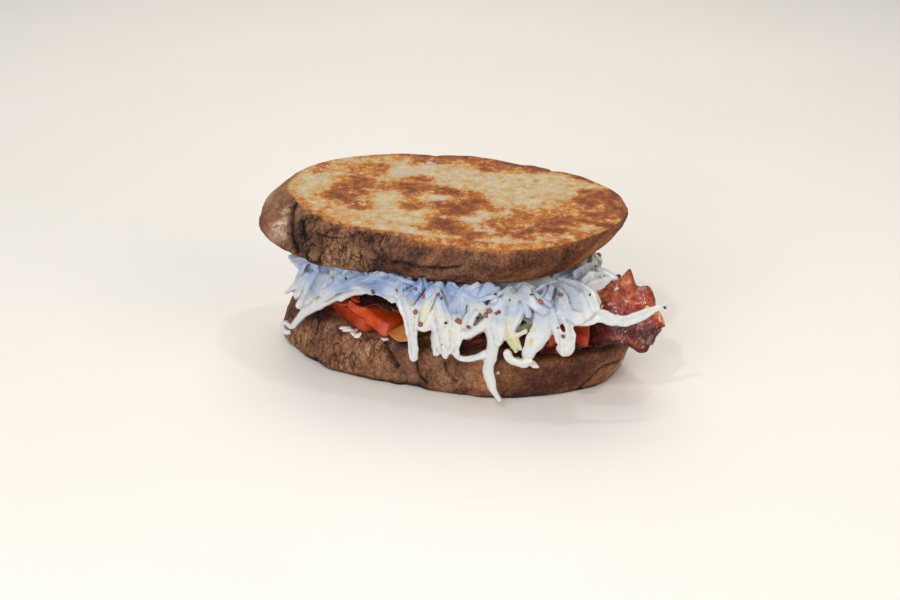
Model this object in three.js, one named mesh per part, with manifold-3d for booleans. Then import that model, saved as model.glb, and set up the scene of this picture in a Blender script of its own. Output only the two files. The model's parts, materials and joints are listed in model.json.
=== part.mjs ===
// A toasted sourdough sandwich: two slices, shingled tomato, melted cheese, fried bacon and creamy slaw.
// Millimetres. +Z is up, +X runs along the loaf slices, -Y is the side that the slaw spills over.
// The origin lies on the lower slice's flat underside, within 8 mm of its middle.
import * as THREE from "three";
import { mergeVertices } from "three/addons/utils/BufferGeometryUtils.js";
import Module from "manifold-3d";

const wasm = await Module();
wasm.setup();

const GAP = 0.35; // room between a piece and the one it rests on

const LOOKS = {
  bread: { color: 0x84543a, roughness: 0.85 },
  tomato: { color: 0xc8451a, roughness: 0.35 },
  cheese: { color: 0xd98a2b, roughness: 0.45 },
  bacon: { color: 0x6e2a20, roughness: 0.4 },
  slaw: { color: 0xe4e6df, roughness: 0.5 },
};

// Both slices come off one long loaf, cut at a slant, so each crust leans towards +X.
const CRUST = {
  segments: 84,
  faceRing: 0.6, // share of the reach at which each cut face has a ring of points
  levels: [0, 0.05, 0.15, 0.38, 0.62, 0.85, 0.95, 1], // heights of the crust's rings, 1 is the top
  lumps: [[3, 0.6], [5, 0.5], [8, 0.35]], // waves round the outline and their heights
  crags: [[13, 3, 0.35], [19, -5, 0.3], [27, 7, 0.25]], // waves round the crust, their lean and height
  relief: { from: 0.15, span: 0.75 }, // part of a half sine wave that the relief follows up the crust
};

const LOWER = {
  name: "bread_lower",
  left: 66, right: 68, front: 39.5, back: 39.5, // reach of the oval from its centre
  squareLeft: 1.95, squareRight: 2.05, // exponents of its two halves, 2 is an ellipse
  thick: 16.6,
  bulge: 0.8, // how far the crust swells between the two faces
  shear: 8, // how much further right the upper face lies than the lower one
  edge: 2, // rounding of the crust at both faces
  // Grooves across the crust: place round the outline, lean to the bottom, half width (degrees), depth.
  grooves: [
    [252, 22, 3.4, 2.4],
    [267, 14, 4, 2.4],
    [286, 22, 3.4, 1.7],
    [214, 8, 3, 1],
    [30, 10, 3, 1.4],
    [110, 12, 4, 1.8],
  ],
  facet: { normal: [0.664, -0.566, -0.49], reach: 49 }, // flat on the crust at the front right
  spread: [-6, 9, 2.6], // where the foot is drawn out, in degrees, the half width and how far
  seat: [-2.4, 2.9, 0],
  tilt: [0, 0, -5.2],
};

const UPPER = {
  name: "bread_upper",
  left: 66, right: 65.5, front: 40.5, back: 37.5,
  squareLeft: 2.15, squareRight: 2.2,
  thick: 16.8,
  bulge: 2.8,
  shear: 12.7,
  edge: 1.8,
  grooves: [
    [197, 19, 3, 2.2],
    [215, 8, 3, 2.2],
    [231, 9, 3, 1],
    [282, 40, 3.4, 1.1],
    [60, 10, 3, 1.6],
    [150, 8, 3, 1.4],
  ],
  facet: { normal: [0.78, -0.35, -0.52], reach: 47 },
  spread: [0, 1, 0],
  seat: [-5.9, 3, 45.6],
  tilt: [5.2, 0.8, 0.5], // the back is raised a little
};

// Wedges of sliced tomato. The seat is the sharp corner on the underside.
const TOMATO = { thick: 5.6, bevel: 0.6, curveSteps: 4 };
const TOMATOES = [
  { name: "tomato_1", radius: 30, sweep: 90, seat: [-24, -31, 17.6], tilt: [0, 0, 48] },
  { name: "tomato_2", radius: 21, sweep: 88, seat: [-15, -33.4, 17.9], tilt: [8, 17, 66] },
  { name: "tomato_3", radius: 24, sweep: 45, seat: [44.5, -31.5, 21.8], tilt: [3, 0, 60] },
  { name: "tomato_4", radius: 22, sweep: 62, seat: [57.8, -28, 21.4], tilt: [24, 0, 96] },
  { name: "tomato_5", radius: 30, sweep: 90, seat: [-20, 37, 17.6], tilt: [0, 0, 195] },
  { name: "tomato_6", radius: 30, sweep: 90, seat: [24, 36.5, 17.6], tilt: [0, 0, 190] },
];

// One thin square slice, soft from the heat: it lies on the tomato and slumps to the bread beside it.
const CHEESE = {
  name: "cheese",
  length: 46, width: 58, thick: 2.2,
  edgeThin: 0.3, // share of the thickness that is lost at the long edges
  corner: 0.07, // share of each half length by which the corners are drawn in
  steps: [12, 5],
  slump: { from: -14, to: 0, fall: 5.4 }, // where along X the sheet leaves the tomato, and how far it falls
  drip: { from: 0.1, to: 0.9, reach: 2.5, fall: 1.6 }, // towards the right its front edge runs on and hangs
  ripple: { height: 0.5, alongX: 6, alongY: 7 }, // the last two are lengths per radian
  seat: [-19, 1.5, 25],
  tilt: [0, 0, -16],
};

// Rashers: wavy strips with a crisp, uneven edge. Waves are counted per radian along the half length.
const BACON = {
  thick: 2.8,
  steps: [18, 4],
  edgeThin: 0.45, // share of the thickness that is lost at the long edges
  ragged: { share: 0.03, coarse: 9, fine: 17 }, // uneven width
  taper: 0.55, // share of the width that is lost at the ends
  bow: 0.05, // how far the ends are drawn in at their corners, as a share of the half length
  endSway: { reach: 0.8, waves: 5 },
  sideSway: { reach: 1.2, waves: 3 },
  middleWave: 0.7, // height of the waves along the middle, against that at the edges
  frontFrom: -0.3, frontTo: 0.5, // where along a rasher its front edge begins to droop, and droops in full
};
const RASHERS = [
  {
    name: "bacon_1", length: 52, width: 37, waves: 2.2, waveHeight: 0.9, phase: 0.1, droop: 1.5, curl: 0.5,
    frontDroop: 2.4, leftDroop: 0, seat: [-22, -10, 28.7], tilt: [0, 1, -11],
  },
  {
    name: "bacon_2", length: 61, width: 32, waves: 2.2, waveHeight: 0.9, phase: 0.45, droop: 0.5, curl: 0.8,
    frontDroop: 0, leftDroop: 3, seat: [27.5, -16, 20.6], tilt: [4, 0, 2],
  },
  {
    name: "bacon_3", length: 40, width: 31, waves: 1.7, waveHeight: 1.2, phase: 0.2, droop: 2.6, curl: 1.2,
    peak: { at: 0.33, height: 6.3, half: 0.1 }, // a crisp point on the far edge
    frontDroop: 0, leftDroop: 0, seat: [60, -10.6, 26.8], tilt: [26, 1, 2],
  },
  {
    name: "bacon_4", length: 92, width: 32, waves: 2.8, waveHeight: 1, phase: 0.7, droop: 1, curl: 0.8,
    frontDroop: 0, leftDroop: 0, seat: [16, 20.5, 26.2], tilt: [-2, 0, -3],
  },
];

// The slaw is a flat heap pressed between the slices, with shreds of cabbage lying on its outer face.
const HEAP = {
  name: "slaw",
  left: 56, right: 55, front: 32.5, back: 35.5,
  squareLeft: 2.4, squareRight: 2.4,
  low: 32.5, // height of its underside
  apron: { left: [-4, 8], right: [34, 48], back: [0, 14], fall: 7.5 }, // the front middle hangs lower
  rear: { from: 9, to: 15, fall: 2.8 }, // and so does the back
  swell: 2.6,
  rings: [[0, 0], [0.6, 0], [0.93, 0], [1, 0.25], [1, 0.75], [0.95, 1], [0, 1]], // shares of reach and height
  segments: 32,
  lumps: [[6, 1.1], [9, 0.9], [13, 0.7]],
  seat: [-3, 2, 0],
};

// Shreds that stand out, by the points they pass through and their width at both ends.
const SHREDS = [
  { path: [[-10, -28, 35], [-6.6, -33, 28], [-3.2, -37.4, 21], [-2.7, -39, 13.3]], width: [3.3, 4.4] },
  { path: [[1.7, -29, 36], [5.2, -34, 26.5], [9.2, -38.2, 20.5], [10.3, -39, 14.9]], width: [4.5, 3.4] },
  { path: [[7.3, -29, 38], [10.6, -35, 28.7], [12.6, -38.4, 21.4], [13.5, -39, 16]], width: [5, 3] },
  { path: [[15.7, -29, 38], [15.7, -35, 28.2], [14.6, -38.6, 19.5]], width: [5, 3] },
  { path: [[9, -39.2, 22.6], [14, -39, 27.8], [19.8, -37, 31.4], [25, -31, 35]], width: [2.4, 3.6] },
  {
    path: [[23.5, -30, 34], [26.2, -38.4, 23.4], [25.7, -39.2, 12.9], [27.6, -39.4, 6.3], [30.4, -40, 2.4]],
    width: [5.4, 2.6],
  },
  { path: [[27, -29, 36], [31.5, -36.6, 27], [34.4, -39, 21.5]], width: [4, 3] },
  { path: [[42, -29, 37], [43, -36.6, 27.4], [40.6, -38.6, 21], [36, -39, 18.4]], width: [6.4, 4] },
  { path: [[31, -34, 31], [32.5, -38.8, 22.3], [36, -39.6, 17.6]], width: [4, 3.4] },
  { path: [[45.5, -26, 41], [47.7, -33, 36], [50, -36.6, 30], [51.6, -37.4, 24.6]], width: [5, 8] },
  {
    path: [[52, -26, 40], [62.8, -34, 37], [70.1, -34, 37.4], [77.8, -30, 39.3], [84.4, -26, 42.4]],
    width: [5, 1.8],
  },
  { path: [[46, -22, 41], [53, -29, 40.5], [60, -33.4, 37.4]], width: [16, 7] },
  { path: [[46, -6, 42.6], [54, -10, 41.4], [61, -15, 39.2]], width: [9, 5] },
  { path: [[29, -34, 32.4], [36.4, -34, 37], [43, -28, 39.6]], width: [7.5, 8] },
  { path: [[-31, -26, 35], [-41.4, -24, 25.5], [-51.6, -20.6, 17.2], [-58.4, -18.6, 9.8]], width: [6, 5] },
  { path: [[-48, -20, 36], [-53.3, -19.4, 25], [-56.5, -18.6, 17.8]], width: [5, 4] },
  { path: [[-46, -16, 36], [-56, -16, 27], [-63.3, -12, 20]], width: [4, 1.6] },
  { path: [[-50, -12, 36], [-57.8, -10, 34.6], [-63, -8, 34]], width: [8, 5] },
  { path: [[-31, -27, 36], [-38, -27.6, 33], [-45, -25, 27.4], [-50, -22, 21.6]], width: [5, 5] },
  { path: [[-34, -27, 36.6], [-24, -29.6, 34], [-13, -30, 34.6]], width: [5, 5] },
];
const SHRED = { thick: 1.9, steps: 5, longSteps: 7, turnX: 0.25 }; // turnX: how much its broad side faces X

// The other shreds follow one rule: each starts in the heap's face and slants down or lies along it.
const LOOSE = {
  count: 36, seed: 7, steps: 3,
  long: [15, 27],
  wide: [3, 5.6],
  start: [0.42, 0.68], // share of the heap's height at which it starts
  drop: [2, 12],
  stations: [0, 0.35, 0.7, 1], // shares of the length at which the curve has a point
  root: -2.8, lift: 1.4, // how far off the face the first point and the others lie
  stray: 0.6, // share of its own stretch of the outline by which it may be shifted
  narrow: 0.7, // width at its end against that at its start
};

// Mustard seeds stuck to the outer side of the shreds.
const SEEDS = { count: 12, radius: 1, every: 7, from: 0.45, stride: 0.03, sunk: 0.67 };

// Distance from the centre to the rim of an oval whose four reaches differ.
function ovalReach(oval, angle) {
  const along = Math.cos(angle) / (Math.cos(angle) > 0 ? oval.right : oval.left);
  const across = Math.sin(angle) / (Math.sin(angle) > 0 ? oval.back : oval.front);
  const power = Math.cos(angle) > 0 ? oval.squareRight : oval.squareLeft;
  return (Math.abs(along) ** power + Math.abs(across) ** power) ** (-1 / power);
}

// Height of low waves round an outline, so that it isn't a perfect oval.
function lumpiness(lumps, angle) {
  return lumps.reduce((sum, [waves, height]) => sum + height * Math.sin(waves * angle + waves * waves), 0);
}

// Relief of the crust: low crags all round, less the grooves, each of which slants down to one side.
function crustRelief(slice, angle, height) {
  const degrees = (THREE.MathUtils.radToDeg(angle) + 360) % 360;
  let relief = 0;
  for (const [waves, lean, tall] of CRUST.crags) relief += tall * Math.sin(waves * angle + lean * height);
  for (const [at, lean, half, depth] of slice.grooves) {
    const off = (degrees - at - lean * (1 - height)) / half;
    relief -= depth * Math.exp(-off * off);
  }
  return relief * Math.sin(Math.PI * (CRUST.relief.from + CRUST.relief.span * height));
}

// How far the slice's foot is drawn out towards +X.
function footAt(slice, angle, height, share) {
  const [at, half, reach] = slice.spread;
  const away = (THREE.MathUtils.radToDeg(angle) - at) / half;
  return reach * Math.exp(-away * away) * (1 - height) ** 2 * share ** 4;
}

// One slice: a lathed unit disc with a rounded rim, stretched to the oval, swollen, grooved and sheared.
function sliceShape(slice, grow) {
  const { levels, faceRing, segments, lumps } = CRUST;
  const profile = [new THREE.Vector2(0, 0), new THREE.Vector2(faceRing, 0)];
  for (const level of levels) profile.push(new THREE.Vector2(1, level));
  profile.push(new THREE.Vector2(faceRing, 1), new THREE.Vector2(0, 1));
  const shape = new THREE.LatheGeometry(profile, segments).rotateX(Math.PI / 2);
  const at = shape.getAttribute("position");
  const normal = new THREE.Vector3(...slice.facet.normal).normalize();
  const point = new THREE.Vector3();
  for (let i = 0; i < at.count; i++) {
    const height = THREE.MathUtils.clamp(at.getZ(i), 0, 1); // 0 at the underside, 1 at the top
    const share = Math.hypot(at.getX(i), at.getY(i));
    const angle = Math.atan2(at.getY(i), at.getX(i));
    const depth = Math.min(height, 1 - height) * slice.thick; // from the nearer face
    const left = Math.max(slice.edge - depth, 0); // of the rounded edge
    const inset = slice.edge - Math.sqrt(slice.edge ** 2 - left ** 2);
    const swell = slice.bulge * (Math.sin(Math.PI * height) - 1) + lumpiness(lumps, angle);
    const crust = swell - inset + crustRelief(slice, angle, height) + grow;
    const reach = share * (ovalReach(slice, angle) + crust);
    const slide = slice.shear * (height - 0.5);
    const rise = height * (slice.thick + 2 * grow) - grow;
    point.set(reach * Math.cos(angle) + slide, reach * Math.sin(angle), rise);
    const over = point.dot(normal) - slice.facet.reach - grow;
    if (over > 0) point.x -= over / normal.x;
    at.setXYZ(i, point.x + footAt(slice, angle, height, share), point.y, point.z);
  }
  return shape;
}

// A tomato wedge: a sector with bevelled edges, its flat underside at height 0.
function tomatoShape(piece, grow) {
  const { thick, bevel, curveSteps } = TOMATO;
  const sweep = THREE.MathUtils.degToRad(piece.sweep);
  const reach = piece.radius - bevel;
  const sector = new THREE.Shape();
  sector.moveTo(0, 0);
  sector.lineTo(reach, 0);
  sector.absarc(0, 0, reach, 0, sweep, false);
  sector.closePath();
  return new THREE.ExtrudeGeometry(sector, {
    depth: thick - 2 * bevel + 2 * grow,
    bevelSize: bevel + grow,
    bevelThickness: bevel,
    bevelSegments: 1,
    curveSegments: curveSteps,
  }).translate(0, 0, bevel - grow);
}

// A soft sheet: a thin box whose middle surface and thickness are given by a function of the place.
function sheetShape(steps, surface) {
  const shape = new THREE.BoxGeometry(1, 1, 1, steps[0], steps[1], 1);
  const at = shape.getAttribute("position");
  for (let i = 0; i < at.count; i++) {
    const along = at.getX(i) * 2; // -1 to 1
    const across = at.getY(i) * 2;
    const { x, y, z, thick } = surface(along, across);
    at.setXYZ(i, x, y, z + at.getZ(i) * thick);
  }
  return shape;
}

// Cheese: flat on the tomato, then down a smooth step to the bread, with a low ripple and soft corners.
function cheeseShape(piece, grow) {
  const { slump, drip, ripple, corner, edgeThin } = piece;
  return sheetShape(piece.steps, (along, across) => {
    const x = along * (piece.length / 2 + grow) * (1 - corner * across ** 6);
    const run = THREE.MathUtils.smoothstep(along, drip.from, drip.to);
    const front = Math.max(-across, 0);
    const y = across * (piece.width / 2 + grow) * (1 - corner * along ** 6) - drip.reach * run * front ** 4;
    const step = THREE.MathUtils.smoothstep(x + piece.seat[0], slump.from, slump.to);
    const wave = ripple.height * Math.sin(x / ripple.alongX) * Math.cos(y / ripple.alongY);
    const thick = piece.thick * (1 - edgeThin * across ** 8) + 2 * grow;
    return { x, y, z: wave - slump.fall * step - drip.fall * run * front ** 6, thick };
  });
}

// A rasher: waves along its length, a droop at its ends or front edge, curled sides and a ragged outline.
function rasherShape(piece, grow) {
  const { ragged, taper, bow, endSway, sideSway, middleWave, frontFrom, frontTo } = BACON;
  return sheetShape(BACON.steps, (along, across) => {
    const uneven = Math.sin(ragged.coarse * along + 5 * piece.phase) + Math.sin(ragged.fine * along + 2);
    const narrow = (1 - taper * Math.abs(along) ** 7) * (1 + ragged.share * uneven);
    const inwards = along * (piece.length / 2 + grow) * (1 - bow * across ** 2);
    const x = inwards + endSway.reach * Math.sin(endSway.waves * across);
    const sway = sideSway.reach * Math.sin(sideSway.waves * along + piece.phase);
    const y = across * (piece.width / 2 + grow) * narrow + sway + peakAt(piece, along, across);
    const wave = Math.sin(2 * Math.PI * (piece.waves * along / 2 + piece.phase) + across);
    const rippled = piece.waveHeight * wave * (middleWave + (1 - middleWave) * across ** 2);
    const endFall = piece.droop * Math.max(along, 0) ** 3 + piece.leftDroop * Math.max(-along, 0) ** 3;
    const front = THREE.MathUtils.smoothstep(along, frontFrom, frontTo);
    const frontFall = piece.frontDroop * front * Math.max(-across, 0) ** 3;
    const z = rippled + piece.curl * across ** 2 - endFall - frontFall;
    return { x, y, z, thick: BACON.thick * (1 - BACON.edgeThin * Math.abs(across) ** 5) + 2 * grow };
  });
}

// How far a rasher's far edge is drawn out to its crisp point, if it has one.
function peakAt(piece, along, across) {
  if (!piece.peak) return 0;
  const off = (along - piece.peak.at) / piece.peak.half;
  return piece.peak.height * Math.exp(-off * off) * Math.max(across, 0) ** 3;
}

// Height of the upper slice's tilted underside above a place.
function undersideHeight(x, y) {
  const [pitch, roll] = UPPER.tilt.map((degrees) => Math.tan(THREE.MathUtils.degToRad(degrees)));
  return UPPER.seat[2] + (y - UPPER.seat[1]) * pitch - (x - UPPER.seat[0]) * roll;
}

// Height of the heap's underside: it hangs lower at the front middle and at the back.
function heapLow(x, y) {
  const { apron, rear } = HEAP;
  const { smoothstep } = THREE.MathUtils;
  const middle = smoothstep(x, ...apron.left) * (1 - smoothstep(x, ...apron.right));
  const front = apron.fall * middle * (1 - smoothstep(y, ...apron.back));
  return HEAP.low - front - rear.fall * smoothstep(y, rear.from, rear.to);
}

// A point on the heap's outer face: the angle round it, the height, and how far it stands off the face.
function facePoint(angle, height, off) {
  const swell = HEAP.swell * (Math.sin(Math.PI * THREE.MathUtils.clamp(height, 0, 1)) - 1);
  const reach = ovalReach(HEAP, angle) + swell + lumpiness(HEAP.lumps, angle + height) + off;
  const x = HEAP.seat[0] + reach * Math.cos(angle);
  const y = HEAP.seat[1] + reach * Math.sin(angle);
  const low = heapLow(x, y);
  return new THREE.Vector3(x, y, low + height * (undersideHeight(x, y) - GAP - low));
}

// The heap without its shreds: a lathed disc with a lumpy face.
function heapShape() {
  const profile = HEAP.rings.map(([share, height]) => new THREE.Vector2(share, height));
  const shape = new THREE.LatheGeometry(profile, HEAP.segments).rotateX(Math.PI / 2);
  const at = shape.getAttribute("position");
  for (let i = 0; i < at.count; i++) {
    const share = Math.hypot(at.getX(i), at.getY(i));
    const face = facePoint(Math.atan2(at.getY(i), at.getX(i)), at.getZ(i), 0);
    const x = HEAP.seat[0] + (face.x - HEAP.seat[0]) * share;
    const y = HEAP.seat[1] + (face.y - HEAP.seat[1]) * share;
    const low = heapLow(x, y);
    at.setXYZ(i, x, y, low + at.getZ(i) * (undersideHeight(x, y) - GAP - low));
  }
  return shape;
}

// Direction away from the heap at a point of a shred.
function outwardAt(point) {
  return new THREE.Vector3(point.x * SHRED.turnX, point.y, 0).normalize();
}

// A shred: a strip bent along a smooth curve, broad side turned away from the heap.
function shredShape({ curve, width, steps }) {
  const shape = new THREE.BoxGeometry(1, 1, 1, 1, 1, steps);
  const at = shape.getAttribute("position");
  for (let i = 0; i < at.count; i++) {
    const t = at.getZ(i) + 0.5;
    const point = curve.getPoint(t);
    const tangent = curve.getTangent(t);
    const side = tangent.clone().cross(outwardAt(point)).normalize();
    const up = tangent.clone().cross(side).normalize();
    const wide = THREE.MathUtils.lerp(width[0], width[1], t);
    point.addScaledVector(side, at.getX(i) * wide).addScaledVector(up, at.getY(i) * SHRED.thick);
    at.setXYZ(i, point.x, point.y, point.z);
  }
  return shape;
}

// Repeatable random numbers from 0 to 1.
function randomFrom(seed) {
  let state = seed;
  return () => {
    state = (state * 16807) % 2147483647;
    return state / 2147483647;
  };
}

// The named shreds, then the loose ones, spread evenly round the heap.
function allShreds() {
  const random = randomFrom(LOOSE.seed);
  const between = ([low, high]) => low + (high - low) * random();
  const shreds = SHREDS.map(({ path, width }) => {
    const curve = new THREE.CatmullRomCurve3(path.map((point) => new THREE.Vector3(...point)));
    return { curve, width, steps: path.length > 4 ? SHRED.longSteps : SHRED.steps };
  });
  for (let i = 0; i < LOOSE.count; i++) {
    const angle = 2 * Math.PI * (i + LOOSE.stray * random()) / LOOSE.count;
    const turn = (random() - 0.5) * 2 * between(LOOSE.long) / ovalReach(HEAP, angle);
    const start = between(LOOSE.start);
    const fall = between(LOOSE.drop) / (UPPER.seat[2] - HEAP.low);
    const wide = between(LOOSE.wide);
    const points = LOOSE.stations.map((t) => {
      const off = t > 0 ? LOOSE.lift : LOOSE.root;
      return facePoint(angle + turn * t, start - fall * t, off);
    });
    const curve = new THREE.CatmullRomCurve3(points);
    shreds.push({ curve, width: [wide, wide * LOOSE.narrow], steps: LOOSE.steps });
  }
  return shreds;
}

// A closed solid from a three.js geometry.
function solid(shape) {
  const bare = shape.clone();
  bare.deleteAttribute("normal");
  bare.deleteAttribute("uv");
  const merged = mergeVertices(bare, 1e-4);
  const vertProperties = merged.getAttribute("position").array;
  const triVerts = Uint32Array.from(merged.index.array);
  return new wasm.Manifold(new wasm.Mesh({ numProp: 3, vertProperties, triVerts }));
}

function geometryOf(body) {
  const { vertProperties, triVerts } = body.getMesh();
  const geometry = new THREE.BufferGeometry();
  geometry.setAttribute("position", new THREE.BufferAttribute(vertProperties, 3));
  geometry.setIndex(new THREE.BufferAttribute(triVerts, 1));
  geometry.computeVertexNormals();
  return geometry;
}

// The heap with its shreds and mustard seeds joined on.
function slawSolid() {
  const shreds = allShreds();
  const parts = [solid(heapShape()), ...shreds.map((shred) => solid(shredShape(shred)))];
  for (let i = 0; i < SEEDS.count; i++) {
    const { curve } = shreds[(i * SEEDS.every) % shreds.length];
    const place = curve.getPoint(SEEDS.from + SEEDS.stride * i);
    place.addScaledVector(outwardAt(place), SHRED.thick / 2 + SEEDS.radius * (1 - SEEDS.sunk));
    parts.push(solid(new THREE.IcosahedronGeometry(SEEDS.radius, 0).translate(place.x, place.y, place.z)));
  }
  return parts.reduce((whole, part) => whole.add(part));
}

function placeOf(piece) {
  const tilt = new THREE.Euler(...piece.tilt.map(THREE.MathUtils.degToRad));
  const turn = new THREE.Quaternion().setFromEuler(tilt);
  return new THREE.Matrix4().compose(new THREE.Vector3(...piece.seat), turn, new THREE.Vector3(1, 1, 1));
}

const sandwich = new THREE.Group();
const placed = []; // what later pieces have to keep clear of, each grown by the gap

// Adds a solid as a named mesh at its place, cut clear of every piece that is there already.
function addMesh(name, body, place, look) {
  const left = placed.reduce((rest, other) => rest.subtract(other), body);
  const largest = left.decompose().reduce((best, next) => (next.volume() > best.volume() ? next : best));
  const geometry = geometryOf(largest).applyMatrix4(place.clone().invert());
  const mesh = new THREE.Mesh(geometry, new THREE.MeshStandardMaterial({ ...look, metalness: 0 }));
  mesh.name = name;
  place.decompose(mesh.position, mesh.quaternion, mesh.scale);
  sandwich.add(mesh);
}

function addPiece(piece, makeShape, look) {
  const place = placeOf(piece);
  addMesh(piece.name, solid(makeShape(piece, 0).applyMatrix4(place)), place, look);
  placed.push(solid(makeShape(piece, GAP).applyMatrix4(place)));
}

addPiece(LOWER, sliceShape, LOOKS.bread);
addPiece(UPPER, sliceShape, LOOKS.bread);
for (const tomato of TOMATOES) addPiece(tomato, tomatoShape, LOOKS.tomato);
addPiece(CHEESE, cheeseShape, LOOKS.cheese);
for (const rasher of RASHERS) addPiece(rasher, rasherShape, LOOKS.bacon);
addMesh(HEAP.name, slawSolid(), new THREE.Matrix4(), LOOKS.slaw);

export default sandwich;
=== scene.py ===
# A griddled sourdough sandwich with tomato, melted cheese, fried bacon and creamy cabbage slaw.
import json
import math
from functools import partial

import bpy
import numpy as np
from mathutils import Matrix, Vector
from mathutils.bvhtree import BVHTree

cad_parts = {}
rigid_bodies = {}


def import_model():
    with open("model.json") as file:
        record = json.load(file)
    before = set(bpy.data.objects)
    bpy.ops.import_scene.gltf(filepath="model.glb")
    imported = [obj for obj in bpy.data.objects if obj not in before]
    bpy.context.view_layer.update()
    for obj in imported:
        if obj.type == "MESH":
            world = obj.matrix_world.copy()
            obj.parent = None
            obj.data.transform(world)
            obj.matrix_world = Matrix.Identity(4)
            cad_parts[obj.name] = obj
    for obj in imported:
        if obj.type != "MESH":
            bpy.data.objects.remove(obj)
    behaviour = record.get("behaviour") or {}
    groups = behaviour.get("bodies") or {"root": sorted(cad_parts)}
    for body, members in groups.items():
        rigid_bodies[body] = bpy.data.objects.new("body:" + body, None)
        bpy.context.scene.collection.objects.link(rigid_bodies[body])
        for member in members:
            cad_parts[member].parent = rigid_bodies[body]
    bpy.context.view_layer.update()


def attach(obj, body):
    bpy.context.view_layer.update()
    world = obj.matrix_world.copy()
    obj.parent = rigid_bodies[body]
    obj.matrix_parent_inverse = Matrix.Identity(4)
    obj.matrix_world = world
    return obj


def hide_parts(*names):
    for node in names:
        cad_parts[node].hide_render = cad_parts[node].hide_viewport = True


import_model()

mm = 0.001  # lengths below are in millimetres and become metres when a mesh is made

view = {
    "seat": (145.9, -479.7, 244.0), "target": (-14.4, 44.5, 0.0), "lens": 58.7,
    "floor": "f4f2ee", "floorSpeckle": "f1efea", "floorHalf": 3000,
    "world": "eef1f5", "worldStrength": 0.32,
    # name, place, where it points, size, watts, colour
    "lamps": [
        ("window", (-200, 520, 800), (0, 0, 30), 700, 4.3, "fff6ea"),
        ("front", (-120, -820, 380), (0, 0, 30), 600, 5.0, "f7f2ec"),
        ("side", (650, -250, 350), (0, 0, 30), 400, 1.8, "fff1e0"),
        ("bulb", (-60, -520, 640), (0, 0, 30), 34, 0.9, "ffffff"),  # small, for crisp glints on what is wet
        ("overhead bulb", (130, 60, 600), (60, -10, 30), 30, 0.27, "ffffff"),
    ],
}


# Turns an sRGB hex colour into the linear one that Blender works with.
def colour(hexText, alpha=1.0):
    parts = [int(hexText[i:i + 2], 16) / 255 for i in (0, 2, 4)]
    return [c / 12.92 if c <= 0.04045 else ((c + 0.055) / 1.055) ** 2.4 for c in parts] + [alpha]


# Adds a node. An input is a value, an output, or a node, whose first output in use is linked. Stops fill a
# colour ramp, and the rest are the node's settings.
def addNode(tree, kind, inputs=None, stops=None, **settings):
    node = tree.nodes.new("ShaderNode" + kind)
    for key, value in settings.items():
        setattr(node, key, value)
    for key, value in (inputs or {}).items():
        if isinstance(value, bpy.types.Node):
            value = next(output for output in value.outputs if output.enabled)
        if isinstance(value, bpy.types.NodeSocket):
            tree.links.new(value, node.inputs[key])
        else:
            node.inputs[key].default_value = value
    if stops:
        ramp = node.color_ramp.elements
        while len(ramp) < len(stops):
            ramp.new(1.0)
        for element, (place, hexText) in zip(ramp, stops):
            element.position = place
            element.color = colour(hexText)
    return node


# An empty material, and addNode ready to add to it.
def newMaterial(name):
    material = bpy.data.materials.new(name)
    material.use_nodes = True
    material.node_tree.nodes.clear()
    return material, partial(addNode, material.node_tree)


# Smooth noise from -1 to 1: random heights at the corners of a cubic lattice, eased between them.
def softNoise(points, cell, seed):
    table = np.random.default_rng(seed).random((32, 32, 32)) * 2 - 1
    scaled = points / cell
    corner = np.floor(scaled).astype(int)
    part = scaled - corner
    part = part * part * (3 - 2 * part)
    total = np.zeros(points.shape[:-1])
    for step in np.ndindex(2, 2, 2):
        weight = np.prod(np.where(np.array(step), part, 1 - part), axis=-1)
        i, j, k = np.moveaxis((corner + step) % 32, -1, 0)
        total += weight * table[i, j, k]
    return total


# Several sizes of soft noise added up, each half as large and half as strong as the one before.
def roughNoise(points, cell, seed, octaves=3):
    return sum(softNoise(points, cell / 2 ** n, seed + n) / 2 ** n for n in range(octaves)) / 1.5


# Distances to the nearest and second nearest of random sites, one in each lattice square, and the
# nearest site's own random number. The first axis repeats after wrap squares.
def cellNoise(points, cell, seed, wrap=64):
    sites = np.random.default_rng(seed).random((wrap, 64, 3))
    scaled = points / cell
    square = np.floor(scaled).astype(int)
    near = np.full(points.shape[:-1], 9.0)
    second = near.copy()
    tone = near.copy()
    for step in np.ndindex(3, 3):
        at = square + step - np.array([1, 1])
        site = sites[at[..., 0] % wrap, at[..., 1] % 64]
        away = np.linalg.norm(scaled - at - site[..., :2], axis=-1)
        closer = away < near
        second = np.where(closer, near, np.minimum(second, away))
        tone = np.where(closer, site[..., 2], tone)
        near = np.where(closer, away, near)
    return near, second, tone


def smoothStep(value, low, high):
    part = np.clip((value - low) / (high - low), 0, 1)
    return part * part * (3 - 2 * part)


# A bell curve: 1 in the middle, and 0.37 at the half width.
def bell(away, half):
    return np.exp(-(away / half) ** 2)


# Steps from 0 to 1 that lie closer together at both ends, the more the larger ease is.
def easedSteps(count, ease):
    run = np.linspace(0, 1, count)
    return (1 - ease) * run + ease * (0.5 - 0.5 * np.cos(np.pi * run))


# The angles of a closed ring, from 0 up to but not including a full turn.
def ringAngles(count):
    return np.linspace(0, 2 * np.pi, count, endpoint=False)


def unit(vectors):
    return vectors / np.linalg.norm(vectors, axis=-1, keepdims=True)


# Moves points from a piece's own frame to the sandwich's: turned about Z, then tilted about Y and X.
def placed(points, piece):
    a, b, c = np.radians(piece["tilt"])
    aboutX = np.array([[1, 0, 0], [0, math.cos(a), -math.sin(a)], [0, math.sin(a), math.cos(a)]])
    aboutY = np.array([[math.cos(b), 0, math.sin(b)], [0, 1, 0], [-math.sin(b), 0, math.cos(b)]])
    aboutZ = np.array([[math.cos(c), -math.sin(c), 0], [math.sin(c), math.cos(c), 0], [0, 0, 1]])
    return points @ (aboutX @ aboutY @ aboutZ).T + np.array(piece["seat"])


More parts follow.
